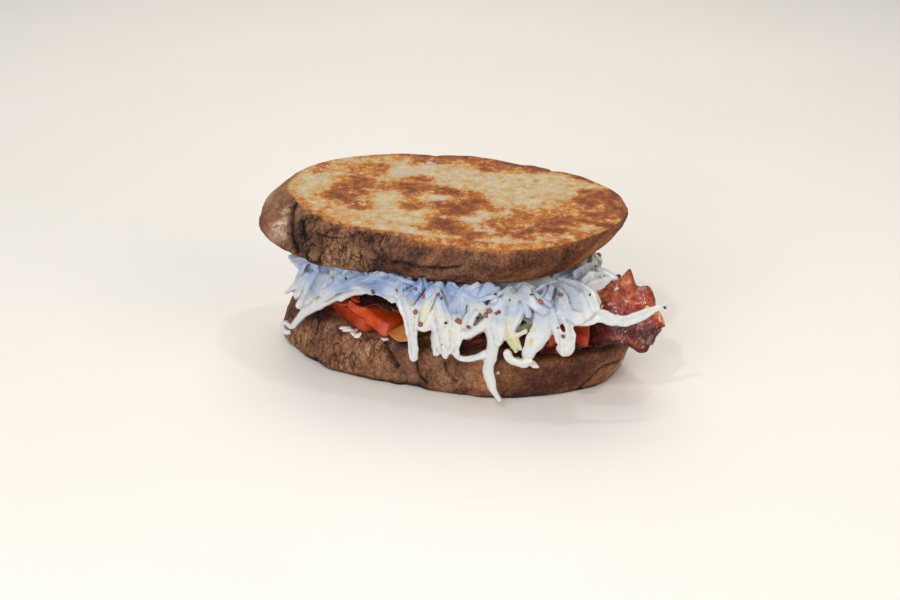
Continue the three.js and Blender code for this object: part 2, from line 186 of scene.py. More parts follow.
# A closed part from rings that run from the bottom pole to the top: quads between the rings and a fan at each
# end. A part is its points, quads, triangles and the values on its points.
def ringPart(rings, values):
    rows, around = rings.shape[:2]
    i = np.arange(around)
    j = (i + 1) % around
    band = np.stack([i, j, j + around, i + around], axis=1)
    quads = (band[None] + around * np.arange(rows - 1)[:, None, None]).reshape(-1, 4)
    start = np.full(around, rows * around)
    last = (rows - 1) * around
    fans = np.concatenate([np.stack([start, j, i], axis=1),
                           np.stack([start + 1, last + i, last + j], axis=1)])
    closed = lambda value: np.concatenate([value.reshape(-1, *value.shape[2:]), value[:1].mean(axis=1),
                                           value[-1:].mean(axis=1)])
    return closed(rings), quads, fans, {key: closed(value) for key, value in values.items()}


def joinParts(parts):
    shift = np.cumsum([0] + [len(part[0]) for part in parts[:-1]])
    points = np.concatenate([part[0] for part in parts])
    quads, fans = (np.concatenate([part[k] + s for part, s in zip(parts, shift)]) for k in (1, 2))
    return points, quads, fans, {key: np.concatenate([part[3][key] for part in parts]) for key in parts[0][3]}


# Writes numbers on a mesh's points, one for each point or four as a colour.
def mark(mesh, key, value):
    kind, field = ("FLOAT_COLOR", "color") if value.ndim == 2 else ("FLOAT", "value")
    mesh.attributes.new(key, kind, "POINT").data.foreach_set(field, value.astype(np.float32).ravel())


def makeMesh(name, part):
    points, quads, fans, values = part
    mesh = bpy.data.meshes.new(name)
    corners = np.concatenate([quads.ravel(), fans.ravel()]).astype(np.int32)
    sizes = np.repeat([4, 3], [len(quads), len(fans)])
    mesh.vertices.add(len(points))
    mesh.vertices.foreach_set("co", (points * mm).astype(np.float32).ravel())
    mesh.loops.add(len(corners))
    mesh.loops.foreach_set("vertex_index", corners)
    mesh.polygons.add(len(sizes))
    mesh.polygons.foreach_set("loop_start", np.concatenate([[0], np.cumsum(sizes)[:-1]]).astype(np.int32))
    mesh.update(calc_edges=True)
    mesh.shade_smooth()
    for key, value in values.items():
        mark(mesh, key, value)
    return mesh


def newObject(name, data):
    item = bpy.data.objects.new(name, data)
    bpy.context.scene.collection.objects.link(item)
    return item


def finishPiece(piece, material, replaced):
    piece.data.materials.clear()
    piece.data.materials.append(material)
    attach(piece, "root")
    if replaced:
        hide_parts(replaced)


def newPiece(name, part, material, replaced=None):
    piece = newObject(name, makeMesh(name, part))
    finishPiece(piece, material, replaced)
    return piece


# Distance from the centre to the rim of an oval whose four reaches differ.
def ovalReach(oval, angle):
    right = np.cos(angle) > 0
    along = np.cos(angle) / np.where(right, oval["right"], oval["left"])
    across = np.sin(angle) / np.where(np.sin(angle) > 0, oval["back"], oval["front"])
    power = np.where(right, oval["squareRight"], oval["squareLeft"])
    return (np.abs(along) ** power + np.abs(across) ** power) ** (-1 / power)


def lumpiness(lumps, angle):
    return sum(height * np.sin(waves * angle + waves * waves) for waves, height in lumps)


# Points of a smooth centripetal curve through the given ones, at the given shares of its length.
def curvePoints(path, shares):
    path = np.array(path, float)
    path = np.concatenate([[2 * path[0] - path[1]], path, [2 * path[-1] - path[-2]]])
    at = np.clip(shares, 0, 1) * (len(path) - 3)
    first = np.minimum(at.astype(int), len(path) - 4)
    part = (at - first)[:, None]
    a, b, c, d = (path[first + n] for n in range(4))
    before, between, after = (
        np.sqrt(np.linalg.norm(q - p, axis=1))[:, None] for p, q in ((a, b), (b, c), (c, d)))
    start = ((b - a) / before - (c - a) / (before + between)) * between + (c - b)
    end = ((d - c) / after - (d - b) / (between + after)) * between + (c - b)
    cube, square = part ** 3, part ** 2
    return ((2 * cube - 3 * square + 1) * b + (cube - 2 * square + part) * start
            + (3 * square - 2 * cube) * c + (cube - square) * end)


# A camera or lamp that stands at its seat and looks at its target.
def aimed(name, data, seat, target):
    item = newObject(name, data)
    item.location = Vector(seat) * mm
    item.rotation_euler = (Vector(target) * mm - item.location).to_track_quat("-Z", "Y").to_euler()
    return item


def setStage():
    scene = bpy.context.scene
    scene.view_settings.view_transform = "Standard"
    camera = bpy.data.cameras.new("camera")
    camera.lens = view["lens"]
    scene.camera = aimed("camera", camera, view["seat"], view["target"])

    # A matt painted board: no gloss, so only soft shadows show on it.
    board, add = newMaterial("matt painted board")
    speckle = add("TexNoise", {"Scale": 40.0, "Detail": 3.0})
    tint = add("ValToRGB", {"Fac": speckle}, [(0.3, view["floorSpeckle"]), (0.7, view["floor"])])
    add("OutputMaterial", {"Surface": add("BsdfPrincipled", {"Base Color": tint, "Roughness": 0.9})})
    mesh = bpy.data.meshes.new("floor")
    half = view["floorHalf"] * mm
    corners = [(-half, -half, 0), (half, -half, 0), (half, half, 0), (-half, half, 0)]
    mesh.from_pydata(corners, [], [(0, 1, 2, 3)])
    mesh.materials.append(board)
    newObject("floor", mesh)

    scene.world = bpy.data.worlds.new("studio")
    scene.world.use_nodes = True
    background = scene.world.node_tree.nodes["Background"]
    background.inputs["Color"].default_value = colour(view["world"])
    background.inputs["Strength"].default_value = view["worldStrength"]

    for name, seat, target, size, watts, tone in view["lamps"]:
        light = bpy.data.lights.new(name, "AREA")
        light.size = size * mm
        light.energy = watts
        light.color = colour(tone)[:3]
        aimed(name, light, seat, target)


setStage()
print("stage: camera, floor and lights are set")

crust = {
    "around": 920, "underRings": 10, "crustRings": 56, "topRings": 40,
    "lumps": [(3, 0.6), (5, 0.5), (8, 0.35)],
    "crags": [(13, 3, 0.35), (19, -5, 0.3), (27, 7, 0.25)],  # waves round, lean and height
    "plate": (3.7, 8.0),  # mean width and height of the plates between the cracks
    "plateStep": 0.3,  # how far a plate may stand out
    "rough": (4.5, 0.58),  # spacing and height of the crust's roughness
    "tear": 1.5,  # how far the cracks wander
    "crackWidth": 0.045, "crackDepth": 0.38,
    "cutEdge": 0.35,  # how ragged the cut end is
    # spacing, share that is open, radius in cells, depth
    "pores": [(2.6, 0.3, 0.30, 0.45), (5.5, 0.16, 0.34, 0.8)],
    "crumb": (1.3, 0.1), "waves": (18, 0.35),  # spacing and height of the faces' grain and slow waves
    "flourTall": 0.22, "darkTall": 0.35,  # share of the crust's height that a floury or a dark place covers
    "base": 0.53,  # the crust's tone, from 0 for black to 1 for floury; the next lines add to it or take away
    "plateTone": 0.14, "cloudTone": 0.2, "rimTone": 0.14,
    "crackTone": 0.22, "cutTone": 0.5, "footTone": 0.42,
    # where the upper rim is golden and where the crust is reddish: degrees, spread and strength
    "goldenRim": [(296, 34, 1.0), (75, 60, 0.6)],
    "reddish": [(330, 24, 0.5), (182, 12, 0.2)],
    # the upper face begins at this share of the height, lower where the rim is golden, and blends in
    "faceFrom": 0.972, "faceLower": 0.055, "faceBlend": 0.026,
}

# Left, right, front and back: how far the oval reaches. Square: 2 for round ends, more for squarer ones.
# Shear: how far the top lies to the right of the bottom. Facet: the normal and the distance of the plane that
# cuts one end off. Paler and warmth are added to the crust's tone and gold.
# Grooves: place round the outline, lean to the bottom, half width (degrees), depth (mm).
# Cuts, which are scores and creases: points of (degrees, height), half width, depth and how black they are,
# partly scorch and partly painted shade in the groove.
# Flour and dark: degrees, height, spread in degrees and strength.
lowerSlice = {
    "name": "bread_lower",
    "left": 66, "right": 68, "front": 39.5, "back": 39.5, "squareLeft": 1.95, "squareRight": 2.05,
    "thick": 16.6, "bulge": 0.8, "shear": 8, "edge": 2,
    "grooves": [(252, 22, 3.4, 2.4), (267, 14, 4, 2.4), (286, 22, 3.4, 1.7), (214, 8, 3, 1),
                (30, 10, 3, 1.4), (110, 12, 4, 1.8)],
    "facet": ((0.664, -0.566, -0.49), 49),
    "seat": (-2.4, 2.9, 0), "tilt": (0, 0, -5.2),
    "lean": 1.5,  # how far the cracks lean over the crust's height
    "cuts": [
        ([(249, 1.0), (254, 0.78), (259, 0.6), (263, 0.42)], 0.5, 1.5, 0.6),
        ([(269.5, 0.87), (273, 0.62), (277, 0.42), (284, 0.2)], 0.55, 1.5, 0.6),
        ([(288, 0.75), (292, 0.52), (298, 0.32)], 0.45, 0.7, 0.45),
        ([(213, 0.95), (215, 0.6), (214, 0.3)], 0.3, 0.35, 0.4),
        ([(236, 0.9), (238, 0.55), (242, 0.3)], 0.3, 0.35, 0.4),
        ([(80, 0.9), (88, 0.5), (92, 0.2)], 0.6, 0.7, 0.5),
        ([(150, 0.8), (154, 0.5), (160, 0.25)], 0.6, 0.7, 0.5),
        ([(359.4, 0.56), (351, 0.6), (347, 0.43), (345, 0.25), (344, 0.03)], 0.5, 1.3, 0.8),
    ],
    "foot": (354, 9, 2.6),  # drawn out here: place and half width in degrees, how far
    "flour": [(268, 0.2, 12, 0.1), (291, 0.35, 6, 0.1), (308, 0.35, 7, 0.12), (246, 0.85, 4, 0.14),
              (213, 0.7, 5, 0.1), (357, 0.48, 5, 0.5), (236, 0.65, 5, 0.14), (248, 0.6, 5, 0.12),
              (286, 0.65, 5, 0.1), (150, 0.5, 14, 0.2), (60, 0.4, 12, 0.15)],
    "scorchedAndShadedFoot": 0.9, "warmRim": 0.1, "bareRim": 0.78,
    "paler": -0.05, "warmth": 0.16,
    "cracked": (226, 32),  # where the crust is crazed: degrees and spread
    "dark": [(331, 0.4, 9, 0.26), (318, 0.75, 8, 0.1), (343, 0.55, 5, 0.24), (355, 0.95, 9, 0.16),
             (225, 0.7, 6, 0.12), (260, 0.95, 4, 0.14), (284, 0.3, 4, 0.12), (205, 0.9, 14, 0.1),
             (321, 0.95, 7, 0.16), (333, 0.95, 6, 0.14), (296, 0.62, 4, 0.14), (248, 0.3, 4, 0.12),
             (320, 0.05, 16, 0.16), (30, 0.5, 25, 0.15)],
    "seed": 11,
}

upperSlice = {
    "name": "bread_upper",
    "left": 66, "right": 65.5, "front": 40.5, "back": 37.5, "squareLeft": 2.15, "squareRight": 2.2,
    "thick": 16.8, "bulge": 2.8, "shear": 12.7, "edge": 1.8,
    "grooves": [(197, 19, 3, 2.2), (215, 8, 3, 2.2), (231, 9, 3, 1), (282, 40, 3.4, 1.1), (60, 10, 3, 1.6),
                (150, 8, 3, 1.4)],
    "facet": ((0.78, -0.35, -0.52), 47),
    "seat": (-5.9, 3, 45.6), "tilt": (5.2, 0.8, 0.5),
    "lean": 3.5,
    "cuts": [
        ([(201, 0.97), (209, 0.68), (216, 0.36), (219, 0.14)], 0.75, 1.9, 1.2),
        ([(212, 0.8), (219, 0.48), (226, 0.15)], 0.55, 1.6, 1.1),
        ([(225, 0.74), (229, 0.48), (232, 0.16)], 0.5, 0.7, 0.35),
        ([(223, 0.76), (228, 0.74), (233, 0.77)], 0.25, 0.5, 0.6),
        ([(236, 0.7), (241, 0.45), (243, 0.15)], 0.3, 0.5, 0.35),
        ([(264, 0.45), (272, 0.44), (283, 0.42), (290, 0.43), (296, 0.5)], 0.6, 1.3, 0.6),
        ([(246, 0.6), (250, 0.4), (254, 0.15)], 0.3, 0.4, 0.5),
        ([(60, 0.8), (66, 0.5), (70, 0.2)], 0.6, 0.8, 0.6),
        ([(130, 0.85), (140, 0.5), (143, 0.2)], 0.6, 0.8, 0.6),
    ],
    "foot": (0, 1, 0),
    "flour": [(200, 0.78, 3.4, 0.5), (204, 0.52, 3.4, 0.55), (207, 0.3, 3.8, 0.45), (186, 0.6, 12, 0.26),
              (238, 0.55, 6, 0.2), (235, 0.3, 5, 0.14), (243, 0.35, 5, 0.12), (251, 0.1, 6, 0.14),
              (285, 0.04, 9, 0.26), (297, 0.2, 7, 0.14), (305, 0.05, 14, 0.2), (319, 0.25, 7, 0.16),
              (345, 0.3, 4, 0.14), (120, 0.5, 14, 0.2), (40, 0.4, 12, 0.15)],
    "scorchedAndShadedFoot": 0.2, "warmRim": 1.0,
    "paler": -0.04, "warmth": 0.08,
    "cracked": (234, 30),
    "dark": [(331, 0.85, 8, 0.16), (318, 0.6, 9, 0.17), (259, 0.45, 7, 0.14), (271, 0.3, 9, 0.12),
             (333, 0.4, 7, 0.12), (240, 0.9, 12, 0.08), (306, 0.45, 12, 0.14), (223, 0.6, 6, 0.2),
             (284, 0.45, 6, 0.18), (276, 0.74, 6, 0.08), (344, 0.75, 4, 0.2), (296, 0.5, 8, 0.08),
             (200, 0.95, 4, 0.2), (213, 0.6, 3, 0.1), (226, 0.1, 5, 0.12), (272, 0.6, 6, 0.12),
             (262, 0.1, 6, 0.08), (20, 0.5, 25, 0.15)],
    # Browned places on the griddled face: centre x and y, half length, half width, strength.
    "toast": [
        (-35, 14, 8, 5.5, 0.5), (-27, 14, 3, 6, 0.55), (-32, 3, 8, 6, 0.7), (-37, -3, 2.6, 5, 0.4),
        (-31, -6.5, 7, 7.5, 0.86), (-35, -8.5, 4, 3, 0.7), (-38, -22, 14, 9, 0.22),
        (-20, -29, 16, 4.5, 0.12), (-36, -11.5, 4, 3.2, 0.8), (-27, -16, 6, 3, 0.6), (-10, 10, 5, 3, 0.5),
        (0, 5, 3, 2, 0.5), (17, -4, 3, 2.6, 0.5), (-48, 9, 3, 4.5, 0.45), (-23, -19.5, 4, 2, 0.45),
        (-20, 1, 3, 4, 0.4), (-16, 4, 4, 4, 0.6), (-10, 5, 5.5, 6, 0.72), (-9.5, -2, 4, 5, 0.7),
        (-3.5, 3.5, 4, 3, 0.6), (5, 1.8, 7.5, 3, 0.82), (14, -1, 4.6, 4, 0.74), (-6, -12.5, 4.5, 3.6, 0.7),
        (4.5, -9.5, 6.5, 4, 0.82), (12.5, -6.5, 6, 4, 0.75), (12, -12.5, 5, 3.4, 0.75),
        (7.5, -20, 5, 7, 0.76), (12.5, -25.5, 6, 4.4, 0.88), (21.5, -32.5, 2.4, 2.8, 0.95),
        (18, -28.5, 6, 2.6, 0.8), (24, -8, 4, 3, 0.36), (33, -9, 4.6, 6, 0.48), (28, -16, 6, 3, 0.4),
        (33, -22, 10, 4, 0.66), (38, -26.5, 6, 3, 0.62), (16, -29.3, 15, 2.6, 0.85), (45, -11, 6.5, 7, 0.9),
        (48, -16.5, 5.5, 5, 1.0), (54.5, 6, 3, 3, 0.9), (41, 3, 3, 4, 0.3), (47, 1, 3.6, 4, 0.36),
        (52, 8.5, 4, 6, 0.7), (57.5, 0, 6, 6.5, 0.66), (62, -1, 5, 5, 0.6), (63, -10.5, 5, 2.2, 1.0),
        (55, -9.5, 4, 2.4, 0.7), (54.5, 14, 4, 4, 0.6), (60, 11, 4, 4.6, 0.7), (65, 4, 4, 6, 0.75),
        (46, -20, 9, 3.4, 0.5), (4, 30.5, 21, 5.4, 0.55), (12, 24, 3, 3.6, 0.5), (20, 28.5, 11, 4, 0.5),
        (-12, 30, 7, 3.6, 0.5), (29, 28, 5, 2.6, 0.5), (40, 31, 10, 3, 0.9), (51, 25.5, 7, 3, 0.85),
        (62, 15, 4, 5, 0.66), (-16, 26.5, 11, 4, 0.55), (-18, 31.5, 14, 2, 0.6), (-36, 25, 14, 3, 0.16),
        (-51, 16, 3, 8, 0.35), (-10, -36, 16, 1.8, 0.4), (26, -35.5, 22, 2, 0.16), (50, -28, 9, 3, 0.36),
        (60, -19, 5, 4, 0.3),
    ],
    "bleached": [(1.5, -4.5, 3, 2.2, 0.9), (17.5, -18.5, 3.6, 1.5, 0.9), (-10.5, 23, 2.6, 4.4, 1.0),
                 (-47, 4, 3, 6, 0.3), (-16, 15, 5, 3, 0.5), (-1, -30.5, 5, 1.4, 0.6), (42, -30, 5, 1.4, 0.5),
                 (24, -24.5, 2.6, 2, 0.8), (21, -15.5, 2.4, 1.4, 0.6)],
    # degrees, half width and depth
    "notches": [(45, 2.0, 1.6), (58, 3.0, -0.8), (34, 4.0, -1.0), (118, 3.0, 0.9)],
    "seed": 23,
}


# One slice: a disc with a rounded rim, stretched to its oval, swollen, grooved and sheared. Its crust is
# cracked into plates by cell noise, and both faces have crumb pores and a low swell.
def breadSlice(bread):
    seed, thick = bread["seed"], bread["thick"]
    under = np.linspace(0.02, 1, crust["underRings"]) ** 0.7
    top = 1 - np.linspace(0, 0.985, crust["topRings"]) ** 1.15
    climb = easedSteps(crust["crustRings"], 0.35)
    share = np.concatenate([under[:-1], np.ones(len(climb)), top[1:]])[:, None]
    height = np.concatenate([np.zeros(len(under) - 1), climb, np.ones(len(top) - 1)])[:, None]
    angle, share, height = np.broadcast_arrays(ringAngles(crust["around"])[None], share, height)
    onSide = share > 0.999

    reach = ovalReach(bread, angle)
    around = np.cumsum(np.hypot(reach[0], np.gradient(reach[0])) * (2 * np.pi / crust["around"]))
    girth = around[-1]
    unrolled = np.stack([np.broadcast_to(around, angle.shape), height * thick], axis=-1)
    flat = np.stack([reach * share * np.cos(angle), reach * share * np.sin(angle), height * thick], axis=-1)
    degrees = np.degrees(angle)
    turned = lambda at: (degrees - at + 180) % 360 - 180  # degrees from a place, the short way round

    # relief of the crust that the fixed frame has too
    relief = sum(tall * np.sin(waves * angle + lean * height) for waves, lean, tall in crust["crags"])
    for at, lean, half, depth in bread["grooves"]:
        relief = relief - depth * bell(turned(at + lean * (1 - height)), half)
    relief = relief * np.sin(np.pi * (0.15 + 0.75 * height))

    # plates and cracks, unrolled round the crust, in whole cells so that they meet
    wide, tall = crust["plate"]
    wander = [roughNoise(flat * [1, 1, 0.7], 4.5, seed + n, 2) for n in (0, 9)]
    warp = crust["tear"] * np.stack(wander, axis=-1)
    leaning = unrolled + warp + np.stack([bread["lean"] * height, 0 * height], axis=-1)
    cells = int(round(girth / wide))
    near, second, plateTone = cellNoise(leaning * [cells / girth, 1 / tall], 1, seed + 1, cells)
    plates = plateTone - 0.5
    gaping = smoothStep(softNoise(flat, 4.5, seed + 19), -0.35, 0.25)
    patchy = smoothStep(softNoise(flat, 16, seed + 3), -0.4, 0.4)
    middle, half = bread["cracked"]
    crazed = np.clip(bell(turned(middle), half) + 0.4 * patchy, 0.1, 1)
    onCrust = smoothStep(height, 0.0, 0.06) * (1 - smoothStep(height, 0.93, 1.0)) * onSide
    crack = (1 - smoothStep(second - near, 0.0, 2 * crust["crackWidth"])) * gaping * crazed * onCrust
    spacing, tall = crust["rough"]
    uneven = crust["plateStep"] * plates * crazed + tall * roughNoise(flat, spacing, seed + 5, 4)
    relief = relief + onCrust * uneven - crust["crackDepth"] * crack

    # scores and creases cut along curves over the crust, darkened partly as scorch and partly as painted
    # shade in the groove
    scorchAndShade = np.zeros(angle.shape)
    for stops, half, depth, black in bread["cuts"]:
        line = curvePoints([(a, h, 0) for a, h in stops], np.linspace(0, 1, 24))
        away = np.full(angle.shape, 99.0)
        for x, h in zip(np.interp(line[:, 0], degrees[0], around), line[:, 1]):
            away = np.minimum(away, np.hypot(unrolled[..., 0] + 0.3 * warp[..., 0] - x, (height - h) * thick))
        relief = relief - depth * bell(away, half) * onCrust
        scorchAndShade = np.maximum(scorchAndShade, black * bell(away, 1.1 * half) * onCrust)
    for at, half, depth in bread.get("notches", ()):
        relief = relief - depth * bell(degrees - at, half)

    depth = np.minimum(height, 1 - height) * thick
    inset = bread["edge"] - np.sqrt(bread["edge"] ** 2 - np.maximum(bread["edge"] - depth, 0) ** 2)
    swell = bread["bulge"] * (np.sin(np.pi * height) - 1) + lumpiness(crust["lumps"], angle)
    radius = share * (reach + swell - inset + relief)
    points = np.stack([radius * np.cos(angle) + bread["shear"] * (height - 0.5), radius * np.sin(angle),
                       height * thick], axis=-1)
    # one end is cut off by a leaning plane
    normal, limit = unit(np.array(bread["facet"][0])), bread["facet"][1]
    past = points @ normal - limit
    torn = past + crust["cutEdge"] * roughNoise(flat, 3, seed + 6)
    endCut = smoothStep(torn, -0.3, 0.6) * onCrust
    points[..., 0] -= np.maximum(np.where(onSide, torn, past), 0) / normal[0]
    at, half, drawn = bread["foot"]
    points[..., 0] += drawn * bell(turned(at), half) * (1 - height) ** 2 * share ** 4

    # pores and swell of the faces
    inner = (1 - smoothStep(share, 0.93, 0.995)) * ~onSide
    pits = np.zeros(angle.shape)
    for spacing, openShare, radiusShare, deep in crust["pores"]:
        near, _, tone = cellNoise(points[..., :2] + 0.25 * warp, spacing, seed + int(10 * spacing))
        size = radiusShare * (0.5 + tone / openShare * 0.5)
        pits = pits + deep * (tone < openShare) * (1 - smoothStep(near, size * 0.35, size))
    grain = crust["crumb"][1] * roughNoise(points, crust["crumb"][0], seed + 7)
    grain = grain + crust["waves"][1] * softNoise(points, crust["waves"][0], seed + 8)
    faceRelief = (grain - pits) * inner
    points[..., 2] += np.where(height > 0.5, faceRelief, 0.25 * np.maximum(-faceRelief, 0))

    # browning of the griddled face, stronger towards the rim
    def spread(spots):
        clear = np.ones(angle.shape)
        for x, y, half, other, strength in spots:
            away = ((points[..., 0] - x) / half) ** 2 + ((points[..., 1] - y) / other) ** 2
            clear = clear * (1 - strength * np.exp(-(0.8 * away) ** 1.4))
        return 1 - clear
    toast = spread(bread["toast"]) if "toast" in bread else 0.45 + 0.5 * roughNoise(points, 14, seed + 13)
    streaky = roughNoise(points * [0.6, 1.3, 1], 5, seed + 12, 4)
    toast = 0.8 * toast * (1 + 0.75 * streaky) + 0.2 * smoothStep(share, 0.95, 0.99)
    toast = toast + 0.25 * np.minimum(pits, 0.6)

    # tone of the crust, how golden it is, and where the griddled face begins
    flour, dark = (
        sum(strength * bell(turned(at), half) * bell(height - h, tall)
            for at, h, half, strength in bread[key])
        for key, tall in (("flour", crust["flourTall"]), ("dark", crust["darkTall"])))
    # the bottom edge is darker: partly scorch, partly painted shade where the rounded edge turns under
    foot = bread["scorchedAndShadedFoot"] * (1 - smoothStep(height, 0.02, 0.12 + 0.1 * softNoise(flat, 9, seed + 14)))
    dusty = smoothStep(roughNoise(flat, 2.4, seed + 15, 4), -0.4, 0.5)
    rim = smoothStep(height, 0.8, 0.93) * bread["warmRim"] * (1 + 0.5 * roughNoise(flat, 8, seed + 17))
    golden = 0.05 + sum(strength * np.exp(-(turned(at) / half) ** 4)
                        for at, half, strength in crust["goldenRim"])
    reddish = bread["warmth"]
    reddish = reddish + sum(strength * bell(turned(at), half) for at, half, strength in crust["reddish"])
    warm = np.clip(rim * golden + 0.6 * endCut + reddish + 0.2 * softNoise(flat, 7, seed + 18) - scorchAndShade, 0, 1)
    tone = crust["base"] + bread["paler"] + crust["plateTone"] * plates * crazed
    tone = tone + flour * (0.35 + 0.65 * dusty) + crust["cloudTone"] * roughNoise(flat, 8, seed + 16)
    tone = tone + crust["rimTone"] * np.clip(rim * golden, 0, 1) - dark
    tone = tone - crust["crackTone"] * crack - crust["cutTone"] * scorchAndShade - crust["footTone"] * foot
    rimHeight = crust["faceFrom"] - crust["faceLower"] * bread["warmRim"] * np.clip(golden, 0, 1)
    rimHeight = rimHeight + 0.012 * roughNoise(flat, 3, seed + 21)
    onFace = smoothStep(height, rimHeight, rimHeight + crust["faceBlend"])
    face = 1 - smoothStep(height, 0.0, 0.02) * (1 - onFace)
    if "bareRim" in bread:  # the crust reaches over the rim of the upper face
        face = face * (1 - smoothStep(share + 0.05 * softNoise(flat, 6, seed + 20), bread["bareRim"], 0.92))
    values = {"toast": toast, "tone": tone, "warm": warm, "face": face * (1 - 0.75 * foot * (share > 0.97)),
              "crazed": crazed * onSide, "milk": spread(bread.get("bleached", ())) * (share < 0.97)}
    return ringPart(placed(points, bread), values)


# Sourdough: a dry, matt crust with flour in it, and a griddled face, oily where it is brown.
def breadMaterial():
    material, add = newMaterial("griddled sourdough bread")
    place = add("TexCoord").outputs["Object"]
    toast, tone, warm, face, crazed, milk = (
        add("Attribute", attribute_name=name).outputs["Fac"]
        for name in ("toast", "tone", "warm", "face", "crazed", "milk"))
    # noise cells of about 3, 1.2 and 0.5 mm: ragged browning, crumb and the grain of the crust
    ragged, coarse, fine = (
        add("TexNoise", {"Vector": place, "Scale": scale, "Detail": detail, "Roughness": rough})
        for scale, detail, rough in ((330.0, 6.0, 0.62), (800.0, 4.0, 0.6), (2000.0, 2.0, 0.6)))
    patches, crusty = 0.0, tone
    for noise, onFace, onCrust in ((ragged, 2.2, 0.4), (coarse, 1.15, 0.45), (fine, 0.4, 0.5)):
        centred = add("Math", {0: noise, 1: -0.5}, operation="ADD")
        patches = add("Math", {0: centred, 1: onFace, 2: patches}, operation="MULTIPLY_ADD")
        crusty = add("Math", {0: centred, 1: onCrust, 2: crusty}, operation="MULTIPLY_ADD")

    # the noise breaks up the browned places and shows less on the pale crumb
    uneven = add("MapRange", {"Value": toast, "From Max": 0.45, "To Min": 0.4})
    toasted = add("Math", {0: patches, 1: uneven, 2: toast}, operation="MULTIPLY_ADD")
    spread = add("Math", {0: toasted, 1: 0.95, 2: 0.15}, operation="MULTIPLY_ADD")
    crumb = add("ValToRGB", {"Fac": spread}, [
        (0.0, "cfc3a2"), (0.14, "c5b28c"), (0.25, "bfa072"), (0.34, "ca9a52"), (0.44, "be7f3e"),
        (0.58, "ac6937"),
        (0.8, "965834"), (1.0, "78432c")])
    cloud = add("TexNoise", {"Vector": place, "Scale": 170.0, "Detail": 3.0})
    milky = add("MapRange", {"Value": cloud, "From Min": 0.5, "From Max": 0.68, "To Max": 0.4})
    milky = add("Math", {0: milky, 1: milk}, operation="ADD", use_clamp=True)
    unbrowned = add("MapRange", {"Value": toasted, "From Min": 0.5, "From Max": 0.25})
    milky = add("Math", {0: milky, 1: unbrowned}, operation="MULTIPLY")
    crumb = add("Mix", {"Factor": milky, "A": crumb, "B": colour("c3bab0")}, data_type="RGBA")

    # fine cracks, read at places that noise pushes about by up to a millimetre or two
    push = add("TexNoise", {
        "Vector": place, "Scale": 450.0, "Detail": 5.0, "Roughness": 0.7}).outputs["Color"]
    pushed = add("VectorMath", {0: push, 1: [3.5 * mm] * 3, 2: place}, operation="MULTIPLY_ADD")
    pushed = add("Mapping", {"Vector": pushed, "Scale": (1.0, 1.0, 0.42)})
    split = add("TexVoronoi", {"Vector": pushed, "Scale": 400.0}, feature="DISTANCE_TO_EDGE")
    hairline = add("MapRange", {"Value": split, "From Min": 0.1, "From Max": 0.0, "To Max": 0.26})
    broken = add("MapRange", {"Value": cloud, "From Min": 0.34, "From Max": 0.52})
    for weaker in (crazed, broken):
        hairline = add("Math", {0: hairline, 1: weaker}, operation="MULTIPLY")

    crusty = add("Math", {0: crusty, 1: hairline}, operation="SUBTRACT")
    brown = add("ValToRGB", {"Fac": crusty}, [
        (0.0, "1c1515"), (0.2, "432e27"), (0.38, "684838"),
        (0.55, "87634b"), (0.75, "a78a75"), (1.0, "cfc4bb")])
    amber = add("ValToRGB", {"Fac": crusty}, [
        (0.0, "241311"), (0.25, "5e3424"), (0.45, "8d5736"),
        (0.62, "b87a48"), (0.8, "cf9d66"), (1.0, "dcb98c")])
    sides = add("Mix", {"Factor": warm, "A": brown, "B": amber}, data_type="RGBA")
    whole = add("Mix", {"Factor": face, "A": sides, "B": crumb}, data_type="RGBA")
    gloss = add("MapRange", {
        "Value": toasted, "From Min": 0.2, "From Max": 0.9, "To Min": 0.9, "To Max": 0.6})
    gloss = add("Mix", {"Factor": face, "A": 0.85, "B": gloss})
    bumps = add("Math", {0: fine, 1: 0.4, 2: coarse}, operation="MULTIPLY_ADD")
    bumps = add("Math", {0: hairline, 1: -2.0, 2: bumps}, operation="MULTIPLY_ADD")
    bump = add("Bump", {"Strength": 0.9, "Distance": 0.7 * mm, "Height": bumps})
    add("OutputMaterial", {"Surface": add("BsdfPrincipled", {
        "Base Color": whole, "Roughness": gloss, "Normal": bump, "Specular IOR Level": 0.15})})
    return material


griddled = breadMaterial()
for piece in (lowerSlice, upperSlice):
    newPiece("sourdough_" + piece["name"].split("_")[1], breadSlice(piece), griddled, piece["name"])
print("bread: two slices")

tomato = {
    "thick": 5.6, "round": 1.0, "around": 260, "steps": 9,
    "soft": 1.4,  # how far the corners of the outline are eased
    "wobble": (0.5, 0.5, 0.15), "hollows": 0.5, "seed": 40,
    # core: how pale it is where the fruit's middle was; deep: how deep its red is
    "pieces": [
        {"name": "tomato_1", "radius": 30, "sweep": 90, "seat": (-24, -31, 17.6), "tilt": (0, 0, 48),
         "deep": 0.6},
        {"name": "tomato_2", "radius": 21, "sweep": 88, "seat": (-15, -33.4, 17.9), "tilt": (8, 17, 66),
         "core": 0.35},
        {"name": "tomato_3", "radius": 24, "sweep": 45, "seat": (44.5, -31.5, 21.8), "tilt": (3, 0, 60),
         "core": 0.3},
        {"name": "tomato_4", "radius": 22, "sweep": 62, "seat": (57.8, -28, 21.4), "tilt": (24, 0, 96),
         "deep": 0.5},
        {"name": "tomato_5", "radius": 30, "sweep": 90, "seat": (-20, 37, 17.6), "tilt": (0, 0, 195)},
        {"name": "tomato_6", "radius": 30, "sweep": 90, "seat": (24, 36.5, 17.6), "tilt": (0, 0, 190)},
    ],
}


